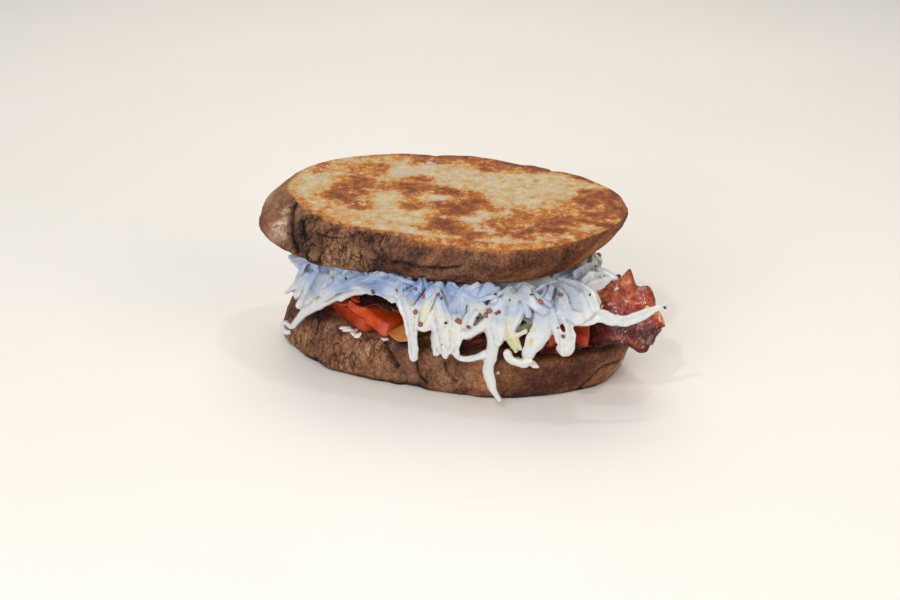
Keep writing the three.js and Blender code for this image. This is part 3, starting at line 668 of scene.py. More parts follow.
# A tomato wedge: the outline of a sector with its corners eased, drawn in along a rounded profile.
def tomatoWedge(piece, seed):
    count, radius, sweep = tomato["around"], piece["radius"], math.radians(piece["sweep"])
    run = np.linspace(0, 2 + sweep, count, endpoint=False)
    turn = np.clip(run - 1, 0, sweep)
    out = np.clip(np.minimum(run, 2 + sweep - run), 0, 1) * radius
    outline = np.stack([out * np.cos(turn), out * np.sin(turn)], axis=1)
    soft = max(3, int(count * tomato["soft"] / (radius * (2 + sweep))))
    for _ in range(3):
        outline = sum(np.roll(outline, k, axis=0) for k in range(-soft, soft + 1)) / (2 * soft + 1)
    skin = smoothStep(np.minimum(run - 1, 1 + sweep - run) * radius, -0.2, 0.4)
    middle = outline.mean(axis=0)

    # rounded rectangle from the middle of the underside to the middle of the top: share of the way out, inset
    # from the rim and height, with a quarter circle at each edge
    steps, easing, thick = tomato["steps"], tomato["round"], tomato["thick"]
    corner = np.linspace(0, np.pi / 2, steps)
    flat = np.linspace(0, 1, steps + 1)[:-1]
    near, far, edge = easing * (1 - np.cos(corner)), easing * (1 - np.sin(corner)), np.full(steps, easing)
    share = np.concatenate([0.02 + 0.98 * flat, np.ones(2 * steps), 1 - 0.98 * flat])
    inset = np.concatenate([edge, far, near, edge])
    rise = np.concatenate([np.zeros(steps), near, thick - far, np.full(steps, thick)])
    spoke = outline - middle
    reach = share[:, None] * (1 - inset[:, None] / np.linalg.norm(spoke, axis=1))
    points = np.zeros((len(share), count, 3))
    points[..., :2] = middle + spoke * reach[..., None]
    points[..., 2] = rise[:, None]
    wobble = roughNoise(points, 5, seed)[..., None] * np.array(tomato["wobble"])
    points = points + wobble * smoothStep(points[..., 2:], 0.0, 1.0)
    onTop = ((share > 0.3) & (rise > 3))[:, None]
    points[..., 2] -= tomato["hollows"] * np.maximum(softNoise(points, 7, seed + 3), 0) * onTop
    core = piece.get("core", 0.1) * bell(np.linalg.norm(points[..., :2], axis=-1), 3)
    values = {"skin": np.broadcast_to(skin, points.shape[:2]) * smoothStep(share, 0.9, 1)[:, None],
              "core": core, "deep": np.full(core.shape, piece.get("deep", 0.15))}
    return ringPart(placed(points, piece), values)


# Tomato: wet translucent flesh with pale fibres, and a thin smooth skin on its round side.
def tomatoMaterial():
    material, add = newMaterial("sliced tomato")
    place = add("TexCoord").outputs["Object"]
    skin, core, deep = (add("Attribute", attribute_name=name).outputs["Fac"]
                        for name in ("skin", "core", "deep"))
    flesh = add("TexNoise", {"Vector": place, "Scale": 260.0, "Detail": 4.0, "Roughness": 0.6})
    fibre = add("TexNoise", {"Vector": place, "Scale": 900.0, "Detail": 2.0})
    red = add("ValToRGB", {"Fac": flesh}, [
        (0.3, "8e2206"), (0.5, "b93a0a"), (0.66, "cc5416"), (0.8, "dc7a3a")])
    for share, tint in ((deep, "8a2008"), (core, "c98668"), (skin, "a82a10")):
        red = add("Mix", {"Factor": share, "A": red, "B": colour(tint)}, data_type="RGBA")
    bump = add("Bump", {"Strength": 0.35, "Distance": 0.3 * mm, "Height": fibre})
    add("OutputMaterial", {"Surface": add("BsdfPrincipled", {
        "Base Color": red, "Roughness": 0.34, "Normal": bump, "Subsurface Weight": 0.25,
        "Subsurface Radius": (1.0, 0.2, 0.06), "Subsurface Scale": 1.5 * mm,
        "Specular IOR Level": 0.18, "Coat Weight": 0.08, "Coat Roughness": 0.1})})
    return material


tomatoFlesh = tomatoMaterial()
for count, piece in enumerate(tomato["pieces"]):
    wedge = tomatoWedge(piece, tomato["seed"] + count)
    newPiece("tomato_wedge_" + piece["name"][-1], wedge, tomatoFlesh, piece["name"])
print("tomato: six wedges")


# A soft strip as rings across its length. Its section is a flat oval: half width times the cosine of the
# ring's angle, and half thickness times a root that keeps it full nearly to the edges.
def stripGrid(strip, power):
    turn = ringAngles(strip["around"])[None]
    along = (2 * easedSteps(strip["rows"], 0.4) - 1)[:, None] * 0.998
    side = np.sign(np.sin(turn)) * np.sqrt(np.maximum(1 - np.abs(np.cos(turn)) ** power, 0))
    return np.broadcast_arrays(along, np.cos(turn), side)


cheese = {
    "name": "cheese",
    "length": 46, "width": 58, "thick": 2.2, "edgeThin": 0.3, "corner": 0.07,
    "drip": (0.1, 0.9, 2.5, 1.6),  # towards the right its front edge runs on and hangs
    "slump": (-14, 0, 5.4),  # beside the tomato it falls from x to x, by how much
    "ripple": (0.5, 6, 7),  # height, and spacing along and across
    "ragged": 0.025, "lumpy": 0.2, "sag": 0.5,  # its edge, its top and its rim
    "seat": (-19, 1.5, 25), "tilt": (0, 0, -16),
    "rows": 150, "around": 180,
}


# Melted cheese: a flat sheet that steps down beside the tomato, with a low ripple and a dripping rim.
def cheeseSheet():
    along, across, side = stripGrid(cheese, 14)
    x = along * cheese["length"] / 2 * (1 - cheese["corner"] * across ** 6)
    start, stop, runOn, hang = cheese["drip"]
    drip = smoothStep(along, start, stop)
    front = np.maximum(-across, 0)
    y = across * cheese["width"] / 2 * (1 - cheese["corner"] * along ** 6) - runOn * drip * front ** 4
    start, stop, fall = cheese["slump"]
    height, alongX, alongY = cheese["ripple"]
    z = height * np.sin(x / alongX) * np.cos(y / alongY)
    z = z - fall * smoothStep(x + cheese["seat"][0], start, stop)
    thick = cheese["thick"] * (1 - cheese["edgeThin"] * across ** 8) * np.sqrt(1 - np.abs(along) ** 40)
    points = np.stack([x, y, z + side * thick / 2], axis=-1)
    edge = np.maximum(np.abs(along), np.abs(across)) ** 12
    points[..., :2] *= 1 + cheese["ragged"] * (roughNoise(points * [1, 1, 0], 6, 61) * edge)[..., None]
    sag = cheese["sag"] * edge * (0.5 + softNoise(points, 5, 63)) + hang * drip * front ** 6
    points[..., 2] += cheese["lumpy"] * roughNoise(points, 6, 62) - sag
    return ringPart(placed(points, cheese), {})


# Cheese that has melted: smooth and oily, amber where it is thin.
def cheeseMaterial():
    material, add = newMaterial("melted cheddar")
    cloud = add("TexNoise", {"Vector": add("TexCoord").outputs["Object"], "Scale": 160.0, "Detail": 3.0})
    amber = add("ValToRGB", {"Fac": cloud}, [(0.3, "a04e1c"), (0.55, "c27530"), (0.75, "d79c5c")])
    bump = add("Bump", {"Strength": 0.3, "Distance": 0.3 * mm, "Height": cloud})
    add("OutputMaterial", {"Surface": add("BsdfPrincipled", {
        "Base Color": amber, "Roughness": 0.32, "Normal": bump, "Subsurface Weight": 0.4,
        "Subsurface Radius": (1.0, 0.5, 0.15), "Subsurface Scale": 2.0 * mm})})
    return material


newPiece("cheese_sheet", cheeseSheet(), cheeseMaterial(), "cheese")
print("cheese: one sheet")

bacon = {
    "thick": 2.5, "rows": 190, "around": 150, "edgeThin": 0.45, "taper": 0.55, "bow": 0.05, "middleWave": 0.7,
    "ragged": (0.03, 9, 17), "endSway": (0.8, 5), "sideSway": (1.2, 3),
    "frill": 0.9, "bubble": 0.55,  # fine uneven edge, and blisters of the fat
    "lumpy": 0.5, "edgeCurl": 1.1, "laneSway": 0.16, "lobes": 0.4, "seed": 70,
    # where the fat lies across the strip, half width and how pale it is
    "fat": [(0.93, 0.13, 0.9), (0.34, 0.12, 0.75), (-0.25, 0.07, 0.55), (-0.72, 0.1, 0.6)],
    # Droops: how far the right end, the front right and the left end hang. Peak: where along the rear edge,
    # how far out and half width. Charred: where across it a darker side begins and is darkest.
    "rashers": [
        {"name": "bacon_1", "length": 52, "width": 37, "waves": 2.2, "waveHeight": 0.9, "phase": 0.1,
         "droop": 1.5, "frontDroop": 2.4, "curl": 0.5, "seat": (-22, -10, 28.7), "tilt": (0, 1, -11),
         # near black: charred, and partly painted shade, as it lies in under the upper slice
         "dark": 1.2,
         "fat": [(0.9, 0.13, 0.9), (0.34, 0.12, 0.75), (-0.25, 0.07, 0.3)]},
        {"name": "bacon_2", "length": 61, "width": 32, "waves": 2.2, "waveHeight": 0.9, "phase": 0.45,
         "droop": 0.5, "leftDroop": 3, "curl": 0.8, "seat": (27.5, -16, 20.6), "tilt": (4, 0, 2),
         "dark": 0.25},
        {"name": "bacon_3", "length": 40, "width": 31, "waves": 1.7, "waveHeight": 1.2, "phase": 0.2,
         "droop": 2.6, "curl": 1.2, "peak": (0.33, 6.3, 0.1), "seat": (60, -10.6, 26.8), "tilt": (26, 1, 2),
         "dark": 0.0, "leftDark": 0.9,
         "fat": [(0.85, 0.22, 0.62), (0.35, 0.3, 0.58), (-0.2, 0.08, 0.2), (-0.8, 0.16, 0.4)],
         "charred": (0.05, -0.4), "lobes": 1.3},
        {"name": "bacon_4", "length": 92, "width": 32, "waves": 2.8, "waveHeight": 1, "phase": 0.7,
         "droop": 1, "curl": 0.8, "seat": (16, 20.5, 26.2), "tilt": (-2, 0, -3), "dark": 0.4},
    ],
}


# A rasher: waves along its length, a droop at the right end, curled sides, a frilled outline and blisters.
def rasherStrip(piece, seed):
    along, across, side = stripGrid(bacon, 8)
    share, coarse, fine = bacon["ragged"]
    uneven = np.sin(coarse * along + 5 * piece["phase"]) + np.sin(fine * along + 2)
    far = np.abs(along)
    narrow = (1 - bacon["taper"] * far ** 7) * (1 + share * uneven) * np.sqrt(1 - far ** 24)
    sway, swings = bacon["endSway"]
    x = along * piece["length"] / 2 * (1 - bacon["bow"] * across ** 2) + sway * np.sin(swings * across)
    sway, swings = bacon["sideSway"]
    y = across * piece["width"] / 2 * narrow + sway * np.sin(swings * along + piece["phase"])
    if "peak" in piece:
        at, height, half = piece["peak"]
        y = y + height * bell(along - at, half) * np.maximum(across, 0) ** 3
    wave = np.sin(2 * np.pi * (piece["waves"] * along / 2 + piece["phase"]) + across)
    middle = bacon["middleWave"]
    z = piece["waveHeight"] * wave * (middle + (1 - middle) * across ** 2)
    z = z + piece["curl"] * across ** 2 - piece["droop"] * np.maximum(along, 0) ** 3
    z = z - piece.get("frontDroop", 0) * smoothStep(along, -0.3, 0.5) * np.maximum(-across, 0) ** 3
    z = z - piece.get("leftDroop", 0) * np.maximum(-along, 0) ** 3

    sheet = np.stack([x, y, np.zeros(x.shape)], axis=-1)
    lane = across + bacon["laneSway"] * softNoise(sheet, 9, seed)
    fat = sum(pale * bell(lane - at, half) for at, half, pale in piece.get("fat", bacon["fat"]))
    fat = np.clip(fat * (0.8 + 0.5 * softNoise(sheet, 5, seed + 1)), 0, 1)
    edge = np.abs(across) ** 6
    frill = bacon["frill"] * roughNoise(sheet, 3.5, seed + 2)
    frill = frill + piece.get("lobes", bacon["lobes"]) * softNoise(sheet, 6, seed + 7)
    x = x + frill * far ** 6 * np.sign(along)
    y = y + frill * edge * np.sign(across)
    z = z + bacon["lumpy"] * roughNoise(sheet, 6, seed + 3)
    z = z + bacon["edgeCurl"] * edge * softNoise(sheet, 5, seed + 4)
    thick = bacon["thick"] * (1 - bacon["edgeThin"] * np.abs(across) ** 5) * (0.85 + 0.3 * fat)
    points = np.stack([x, y, z + side * thick * np.sqrt(1 - far ** 30) / 2], axis=-1)
    blister = np.maximum(roughNoise(sheet, 2.2, seed + 5), -0.2) * (0.35 + fat)
    points[..., 2] += bacon["bubble"] * blister * (side > 0)
    char = piece["dark"] + 0.3 * edge + 0.35 * roughNoise(sheet, 7, seed + 6)
    if "charred" in piece:
        begins, full = piece["charred"]
        char = char + 0.75 * smoothStep(-lane, -begins, -full)
    leftEnd = (1 - smoothStep(along, -0.4, 0.1)) * smoothStep(-across, -0.3, 0.3)
    char = char + piece.get("leftDark", 0) * leftEnd
    return ringPart(placed(points, piece), {"fat": fat, "char": char})


# Fried smoked bacon: dark lean that has dried, clear orange fat that has rendered, and grease over both.
def baconMaterial():
    material, add = newMaterial("fried smoked bacon")
    place = add("TexCoord").outputs["Object"]
    fat, char = (add("Attribute", attribute_name=name).outputs["Fac"] for name in ("fat", "char"))
    mottle = add("TexNoise", {"Vector": place, "Scale": 500.0, "Detail": 4.0, "Roughness": 0.6})
    fibre = add("TexNoise", {"Vector": place, "Scale": 1400.0, "Detail": 2.0})
    streak = add("Math", {0: mottle, 1: -0.5}, operation="ADD")
    fatty = add("Math", {0: streak, 1: 1.5, 2: fat}, operation="MULTIPLY_ADD")
    meat = add("ValToRGB", {"Fac": fatty}, [
        (0.0, "701e18"), (0.3, "a2402a"), (0.5, "c0643c"),
        (0.68, "d48a5c"), (0.85, "e4b490"), (1.0, "eccba8")])
    # the darker colours: charred meat, and the painted shade on the rasher that lies under the upper slice
    scorchAndShade = add("ValToRGB", {"Fac": fatty}, [
        (0.0, "2a0b0b"), (0.4, "541e1b"), (0.8, "864636"), (1.0, "b07858")])
    charred = add("Math", {0: streak, 1: 0.8, 2: char}, operation="MULTIPLY_ADD", use_clamp=True)
    whole = add("Mix", {"Factor": charred, "A": meat, "B": scorchAndShade}, data_type="RGBA")
    greasy = add("MapRange", {"Value": charred, "To Min": 0.9, "To Max": 0.5})
    bumps = add("Math", {0: fibre, 1: 0.3, 2: mottle}, operation="MULTIPLY_ADD")
    bump = add("Bump", {"Strength": 1.0, "Distance": 0.8 * mm, "Height": bumps})
    # the grease is smoother than the meat, in beads about 2 mm across
    beads = add("TexNoise", {"Vector": place, "Scale": 420.0, "Detail": 2.0})
    glaze = add("Bump", {"Strength": 0.8, "Distance": 0.6 * mm, "Height": beads})
    add("OutputMaterial", {"Surface": add("BsdfPrincipled", {
        "Base Color": whole, "Roughness": 0.24, "Normal": bump, "Subsurface Weight": 0.12,
        "Subsurface Radius": (1.0, 0.3, 0.15), "Subsurface Scale": 1.5 * mm, "Specular IOR Level": 0.15,
        "Coat Weight": greasy, "Coat Roughness": 0.08, "Coat Normal": glaze})})
    return material


smoked = baconMaterial()
for count, piece in enumerate(bacon["rashers"]):
    rasher = rasherStrip(piece, bacon["seed"] + 10 * count)
    newPiece("bacon_rasher_" + piece["name"][-1], rasher, smoked, piece["name"])
print("bacon: four rashers")

slaw = {
    "left": 56, "right": 55, "front": 32.5, "back": 35.5, "squareLeft": 2.4, "squareRight": 2.4,
    "low": 32.5, "swell": 2.6,
    # the underside hangs lower in front: where it sets in and ends from x to x, ends from y to y, how far
    "apron": ((-4, 8), (34, 48), (0, 14), 7.5),
    "rear": (9, 15, 2.8),  # and behind: from y to y, how far
    "lumps": [(6, 1.1), (9, 0.9), (13, 0.7)],
    "seat": (-3, 2), "gap": 0.35,  # the gap is to the upper slice
    "shredThick": 2.0, "crispThick": 1.3,  # of the shreds in the two lists below
    "turnX": 0.25,  # how much a shred's broad side turns outwards along x too
    "creamy": 0.9, "torn": 0.24,  # how lumpy the heap's own face is, and how ragged a shred
    "mergedTwist": 0.35, "mergedTones": (0.1, 0.5), "crispTones": (0.4, 1),
    # Shreds placed one by one, front left to front right: the points they pass through and the width there.
    # These run together in the wet mass.
    "merged": [
        [(-29.5, -27, 33.5, 3), (-34.5, -28, 30.5, 4), (-42.5, -26, 25, 4), (-50.5, -23, 18.5, 3),
         (-56, -20.5, 11, 1.8)],
        [(-19, -31, 35, 3), (-26, -30, 34.5, 4), (-32.5, -28.5, 30.5, 3.4), (-40.5, -26, 26, 2.8),
         (-49, -23, 21, 2)],
        [(-53, -21, 15.5, 2.2), (-57, -20, 11, 2.2), (-60, -19, 12, 1.8), (-60.5, -18.5, 8, 2.2),
         (-57.5, -19, 8, 1.4)],
        [(-36, -26, 36, 7), (-43, -24.5, 31.5, 8), (-48.5, -22.5, 26, 7), (-52.5, -20.5, 20.5, 4)],
        [(-44, -22, 37, 7), (-50, -21, 32.5, 7), (-53.5, -19.5, 27, 5), (-55, -18.5, 22, 3)],
        [(-46, -24, 35, 5), (-51.5, -22, 30.5, 3.5), (-59, -19, 24, 1)],
        [(-50, -20, 35.5, 6), (-54.5, -18, 36.5, 5), (-58.5, -16, 38, 2)],
        [(-44.5, -24, 37, 4), (-47, -24.5, 31.5, 3.4), (-50, -24, 25.5, 3), (-53, -22.5, 20.5, 3)],
        [(-37.5, -27, 37.5, 5), (-41.5, -27.5, 32, 4), (-47, -25.5, 25.5, 3)],
        [(-31, -30, 39, 5), (-35, -29.5, 33.5, 4.5), (-41, -27.5, 28, 3)],
        [(-23.5, -32, 39, 5), (-28.5, -31.5, 36.5, 4), (-34.5, -29.5, 33, 3)],
        [(-34, -28, 28.5, 2.4), (-28, -31, 34, 4), (-22, -33, 37, 4), (-14.5, -35, 37.5, 4),
         (-8.5, -37, 35.5, 4)],
        [(-21, -33, 39.5, 4), (-14.5, -35, 40, 5), (-8.5, -37, 39, 5), (-4.5, -38.5, 35.5, 4)],
        [(-9, -35, 40.5, 7), (-5.5, -38.5, 35.5, 6.5), (-3.5, -39.5, 30.5, 4.6), (-2.5, -40, 23, 4),
         (-2, -40, 18.5, 4.8), (-2, -40, 13.8, 3.6)],
        [(-5, -35, 40.5, 5), (-1.5, -38.5, 36, 5), (-1, -39.5, 30.5, 4), (-1.5, -40, 24, 2)],
        [(-0.5, -36, 40, 5), (3, -39, 35.5, 4), (4.5, -40, 31.5, 4), (3, -40.5, 28.5, 3.4),
         (0, -40, 27, 2.6)],
        [(-0.5, -35, 41, 6), (4, -38.5, 36, 6), (6.5, -40, 29.5, 6.5), (7, -40.5, 23.5, 6),
         (6.8, -40.5, 19.8, 4), (6.5, -40.5, 17.5, 1.4)],
        [(3.5, -35, 42, 6), (7.5, -39, 36.5, 6.5), (9.5, -40.5, 29.5, 7), (10.2, -41, 23.5, 6.4),
         (10.3, -41, 19.6, 4), (10.3, -41, 17, 1.4)],
        [(8.5, -35, 42, 6), (11, -39, 36.5, 6), (12.5, -40.5, 30, 6), (13.3, -41, 23.5, 5.6),
         (13.9, -41, 20.4, 3.6), (14.4, -41, 18.2, 1.4)],
        [(13.5, -34.5, 42.5, 6), (14, -38.5, 37.5, 5), (13, -40, 31, 5), (12.5, -40.5, 26, 5)],
        [(19, -34.5, 43, 6), (18, -38.5, 38.5, 5.5), (16, -40, 32.5, 5), (14, -40.5, 27, 5)],
        [(23, -34, 44, 5), (22.5, -38, 41, 4.5), (20, -40, 36, 3.5), (17, -41, 30, 4)],
        [(12, -40.5, 28, 4), (17, -41, 27, 4), (20.5, -41, 29, 3.8), (25, -41.5, 33, 3.6),
         (27.5, -41, 37.5, 3.4), (31, -40, 40.5, 4)],
        [(27.5, -38, 40.5, 4.6), (26.5, -41, 37.5, 4.6), (26, -41, 31, 4.8), (27, -41, 26, 4.4),
         (26.5, -41, 20.5, 3.8), (25.5, -41, 15, 3.5), (26.5, -41, 10, 3.3), (28, -41, 6.5, 2.4),
         (30.5, -41, 3.5, 1.4)],
        [(30.5, -40, 39.5, 5), (29.5, -41.5, 35, 5.5), (30, -41.5, 29.5, 5), (29, -41.5, 25, 3)],
        [(13.5, -40.5, 18, 1.6), (17, -41, 18, 2.2), (21, -41, 19, 3), (26, -41, 21.5, 3.6)],
        [(32, -41, 24, 2.4), (33, -41, 20.8, 3), (36.5, -40.8, 19.2, 3.6), (40.5, -40.5, 20, 3.6)],
        [(41.5, -38, 40, 5), (44, -39.5, 37, 6.5), (44, -39.5, 33, 7.4), (42, -40, 28, 7.6),
         (39.8, -40.5, 23, 6.4), (38.8, -40.5, 20.6, 4)],
        [(38.5, -30.5, 42, 4.5), (38, -38, 40.5, 4.5), (35.5, -40.5, 36, 4), (33, -41, 30, 2.4)],
        [(35, -34.5, 41.5, 5), (34, -40, 39.5, 5), (33, -41, 34.5, 3)],
        [(26, -40.5, 38.5, 1.6), (29, -38.5, 40, 4.6), (33.5, -37.5, 40.5, 5.4), (38, -33.5, 41.5, 4),
         (41.5, -31, 41.5, 2)],
        [(27, -36.5, 41, 2), (31, -33.5, 41.5, 4.5), (35.5, -29.5, 42, 4.5), (39.5, -28.5, 42, 2)],
        [(44, -24, 42, 4), (44, -34.5, 41, 3.8), (46.5, -38.5, 37.5, 3.6), (49, -38, 32, 3.6),
         (51, -37.5, 27.5, 5.2)],
        [(45.5, -24.5, 42, 3.6), (50, -34.5, 41, 3), (52, -37.5, 36, 2.8), (53.3, -37.5, 31, 4),
         (52.8, -37.5, 27, 5.2)],
        [(52, -37.8, 32, 3.6), (52.3, -38, 28.6, 5.8), (52.2, -38, 25.6, 7.4), (52, -37.8, 22.6, 6.4)],
        [(46.5, -31, 41.5, 2), (49, -37, 39, 2.4), (50.5, -37.5, 34.5, 2)],
        [(45, -22, 43.6, 4), (52, -26.5, 44, 5), (58.5, -32.5, 42.8, 5.2), (62, -36, 40, 4)],
        [(44.5, -23.5, 42.4, 5), (50.5, -29.5, 42, 6), (56, -35, 40.4, 6), (60, -37.5, 38.1, 5)],
        [(44, -26, 41, 4), (48.5, -33, 39.8, 5), (53, -37.5, 38, 5.4), (58, -38, 36.2, 4.5)],
        [(48, -31, 41.5, 3), (51.5, -36.5, 39.5, 4), (55.5, -37, 36.5, 4.4), (59.5, -35.5, 36, 4)],
        [(55, -27.5, 42.5, 5), (58.5, -29.5, 42.5, 5), (62, -33, 41, 2.4)],
        [(55, -37, 37.5, 3), (59, -36, 37, 5), (62.5, -34.5, 38, 5.6), (67.5, -33.5, 36.5, 4.4),
         (72, -32, 36.5, 3.8), (75.5, -31, 38, 3.2), (79, -28.5, 39.5, 2.4), (84, -26, 41.5, 1)],
        [(49.5, -16.5, 43, 6), (52, -9, 43, 5), (54, -5, 43, 3)],
        [(52.5, -19, 42, 5), (55.5, -15, 43, 5), (58.5, -10, 43, 3)],
        [(54.5, -19.5, 41, 5), (58, -15.5, 41, 4.4), (61, -11, 42, 3.4)],
        [(55, -5, 43, 4), (57.5, -9, 42.5, 4), (61, -10.5, 42.5, 3.4), (64, -11, 42, 1.6)],
    ],
    # these lie on it with clear edges
    "crisp": [
        [(21.5, -33, 42, 3), (21.5, -37, 40.5, 4), (20.5, -40, 38, 1.6)],
        [(29, -40.5, 38.5, 1.6), (31.5, -41, 35.5, 2.2), (32, -41, 29.5, 2), (34, -41, 25.5, 2.4),
         (35.5, -40.5, 23, 1.6)],
        [(32, -41, 36.5, 2), (33.5, -41, 31.5, 2), (35.5, -40.5, 27, 2.4), (37, -40.5, 24, 1.6)],
        [(30.5, -41, 28, 2), (33, -41, 29, 2), (36, -40.5, 30, 2), (39, -40.5, 32, 2)],
        [(40, -27.5, 42, 2), (42.5, -23, 42, 2.6), (48, -22, 43, 2.6), (53.5, -22.5, 43, 2.6),
         (58, -27.5, 43, 2.6), (61, -32, 41.5, 2.2)],
    ],
    # the frame's other shreds follow this rule
    "loose": {"count": 36, "seed": 7, "long": (15, 27), "wide": (3, 5.6), "start": (0.42, 0.68),
              "drop": (2, 12), "root": -2.8, "lift": 1.4, "stray": 0.6, "narrow": 0.7},
    # finer shreds all round the heap
    "fine": {"count": 170, "seed": 31, "long": (9, 24), "wide": (1.7, 3.6), "thick": (1.1, 1.7),
             "start": (0.3, 0.92), "drop": (-3, 11), "lift": (-0.6, 1.6)},
    # short shreds that hang side by side from under the upper slice: where they start, and how far they fall
    "veil": {"count": 54, "seed": 53, "from": -48, "to": 46, "wide": (1.4, 4.8), "thick": (1.0, 1.7),
             "topDepth": ([-46, -30, -15, 0, 12, 20, 32, 45],
                          [-22, -29, -33.5, -35.5, -37.2, -37, -34.5, -29]),
             "faceDepth": ([-46, -30, -15, 0, 20, 45], [-24.5, -30.5, -36.5, -39.5, -40.6, -38.5]),
             # how far they reach up over the crust's lower edge
             "rise": ([-46, -25, -10, 8, 20, 45], [0, 1, 2, 2.5, 3.5, 3]),
             "fall": ([-46, -30, -24, -10, -4, 6, 30, 45], [9, 7, 3.5, 3.5, 8, 12, 9, 6]), "slope": 13},
    # places, from x to x, where the front is left open below this height
    "open": [(-42, -5, 34.5), (37, 80, 38)], "openBefore": -15,
    # where cool blue shade is painted on the dressing: most at the left, less at the right and at the end,
    # and less at the rear
    "shadeLeft": (-46, -18), "shadeRight": (4, 34), "shadeEnd": (50, 60), "shadeRear": (-20, 6),
    # the two masses, the side that each lies on, and the size of the cubes that it is remeshed in
    "halves": [("front", -1, 0.463), ("rear", 1, 0.485)],
    "soften": 1,  # how many times a remeshed mass is smoothed
    "apart": (2, 2),  # one in so many of the finer and of the hanging shreds keeps clear edges
    "split": -12, "overlap": 2,  # where the front mass meets the rear one
    "wetLumps": ((0.16, 2.2), (0.06, 0.9)),  # height and spacing of the dressing's lumps, coarse and fine
    "rows": 34, "around": 18, "coreAround": 420,
}


# Height of the upper slice's underside, which is a tilted plane.
def undersideHeight(x, y):
    pitch, roll = (math.tan(math.radians(a)) for a in upperSlice["tilt"][:2])
    seat = upperSlice["seat"]
    return seat[2] + (y - seat[1]) * pitch - (x - seat[0]) * roll


# Height of the heap's underside, which hangs lower at the front and at the rear.
def heapLow(x, y):
    left, right, back, fall = slaw["apron"]
    middle = smoothStep(x, *left) * (1 - smoothStep(x, *right))
    start, stop, rearFall = slaw["rear"]
    return slaw["low"] - fall * middle * (1 - smoothStep(y, *back)) - rearFall * smoothStep(y, start, stop)


# A height between the heap's underside, share 0, and the upper slice, share 1.
def heapHeight(x, y, share):
    low = heapLow(x, y)
    return low + share * (undersideHeight(x, y) - slaw["gap"] - low)


# A point on the heap's outer face: the angle round it, the share of its height, and how far off the face.
def facePoint(angle, height, off):
    swell = slaw["swell"] * (np.sin(np.pi * np.clip(height, 0, 1)) - 1)
    reach = ovalReach(slaw, angle) + swell + lumpiness(slaw["lumps"], angle + height) + off
    x, y = slaw["seat"][0] + reach * np.cos(angle), slaw["seat"][1] + reach * np.sin(angle)
    return np.stack([x, y, heapHeight(x, y, height)], axis=-1)


# The heap under the shreds: a disc with a lumpy, creamy face.
def slawCore():
    bend = np.linspace(0, np.pi, 40)
    share = np.concatenate([[0.02, 0.5, 0.8], 0.93 + 0.07 * np.sin(bend), [0.8, 0.4, 0.02]])[:, None]
    height = np.concatenate([np.zeros(3), 0.5 - 0.5 * np.cos(bend), np.ones(3)])[:, None]
    angle, share, height = np.broadcast_arrays(ringAngles(slaw["coreAround"])[None], share, height)
    seat = np.array(slaw["seat"])
    x, y = np.moveaxis(seat + (facePoint(angle, height, -0.4)[..., :2] - seat) * share[..., None], -1, 0)
    points = np.stack([x, y, heapHeight(x, y, height)], axis=-1)
    away = points * [0.6, 1, 0]
    away = away / np.maximum(np.linalg.norm(away, axis=-1, keepdims=True), 1)
    strands = roughNoise(points * [0.45, 0.45, 1], 2.6, 90) + 0.6 * roughNoise(points, 1.5, 91)
    points = points + away * (slaw["creamy"] * strands * smoothStep(share, 0.85, 0.95))[..., None]
    look = np.stack([0.35 + 0.25 * softNoise(points, 6, 92), angle * 40, height * 12, angle * 0 + 1], axis=-1)
    return ringPart(points, {"look": look})


# Repeatable numbers from 0 to 1, the same as those that the frame's shreds were drawn with.
def drawFrom(seed):
    state = seed
    while True:
        state = state * 16807 % 2147483647
        yield state / 2147483647


# Paths of the frame's own shreds, which run down and round the heap's face.
def loosePaths():
    rule = slaw["loose"]
    draw = drawFrom(rule["seed"])
    between = lambda low, high: low + (high - low) * next(draw)
    stations = np.array([0, 0.35, 0.7, 1])
    found = []
    for i in range(rule["count"]):
        angle = 2 * math.pi * (i + rule["stray"] * next(draw)) / rule["count"]
        turn = (next(draw) - 0.5) * 2
        turn = turn * between(*rule["long"]) / ovalReach(slaw, angle)
        start = between(*rule["start"])
        fall = between(*rule["drop"]) / (upperSlice["seat"][2] - slaw["low"])
        wide = between(*rule["wide"])
        path = facePoint(angle + turn * stations, start - fall * stations,
                         np.where(stations > 0, rule["lift"], rule["root"]))
        found.append(np.column_stack([path, wide * (1 + (rule["narrow"] - 1) * stations)]))
    return found


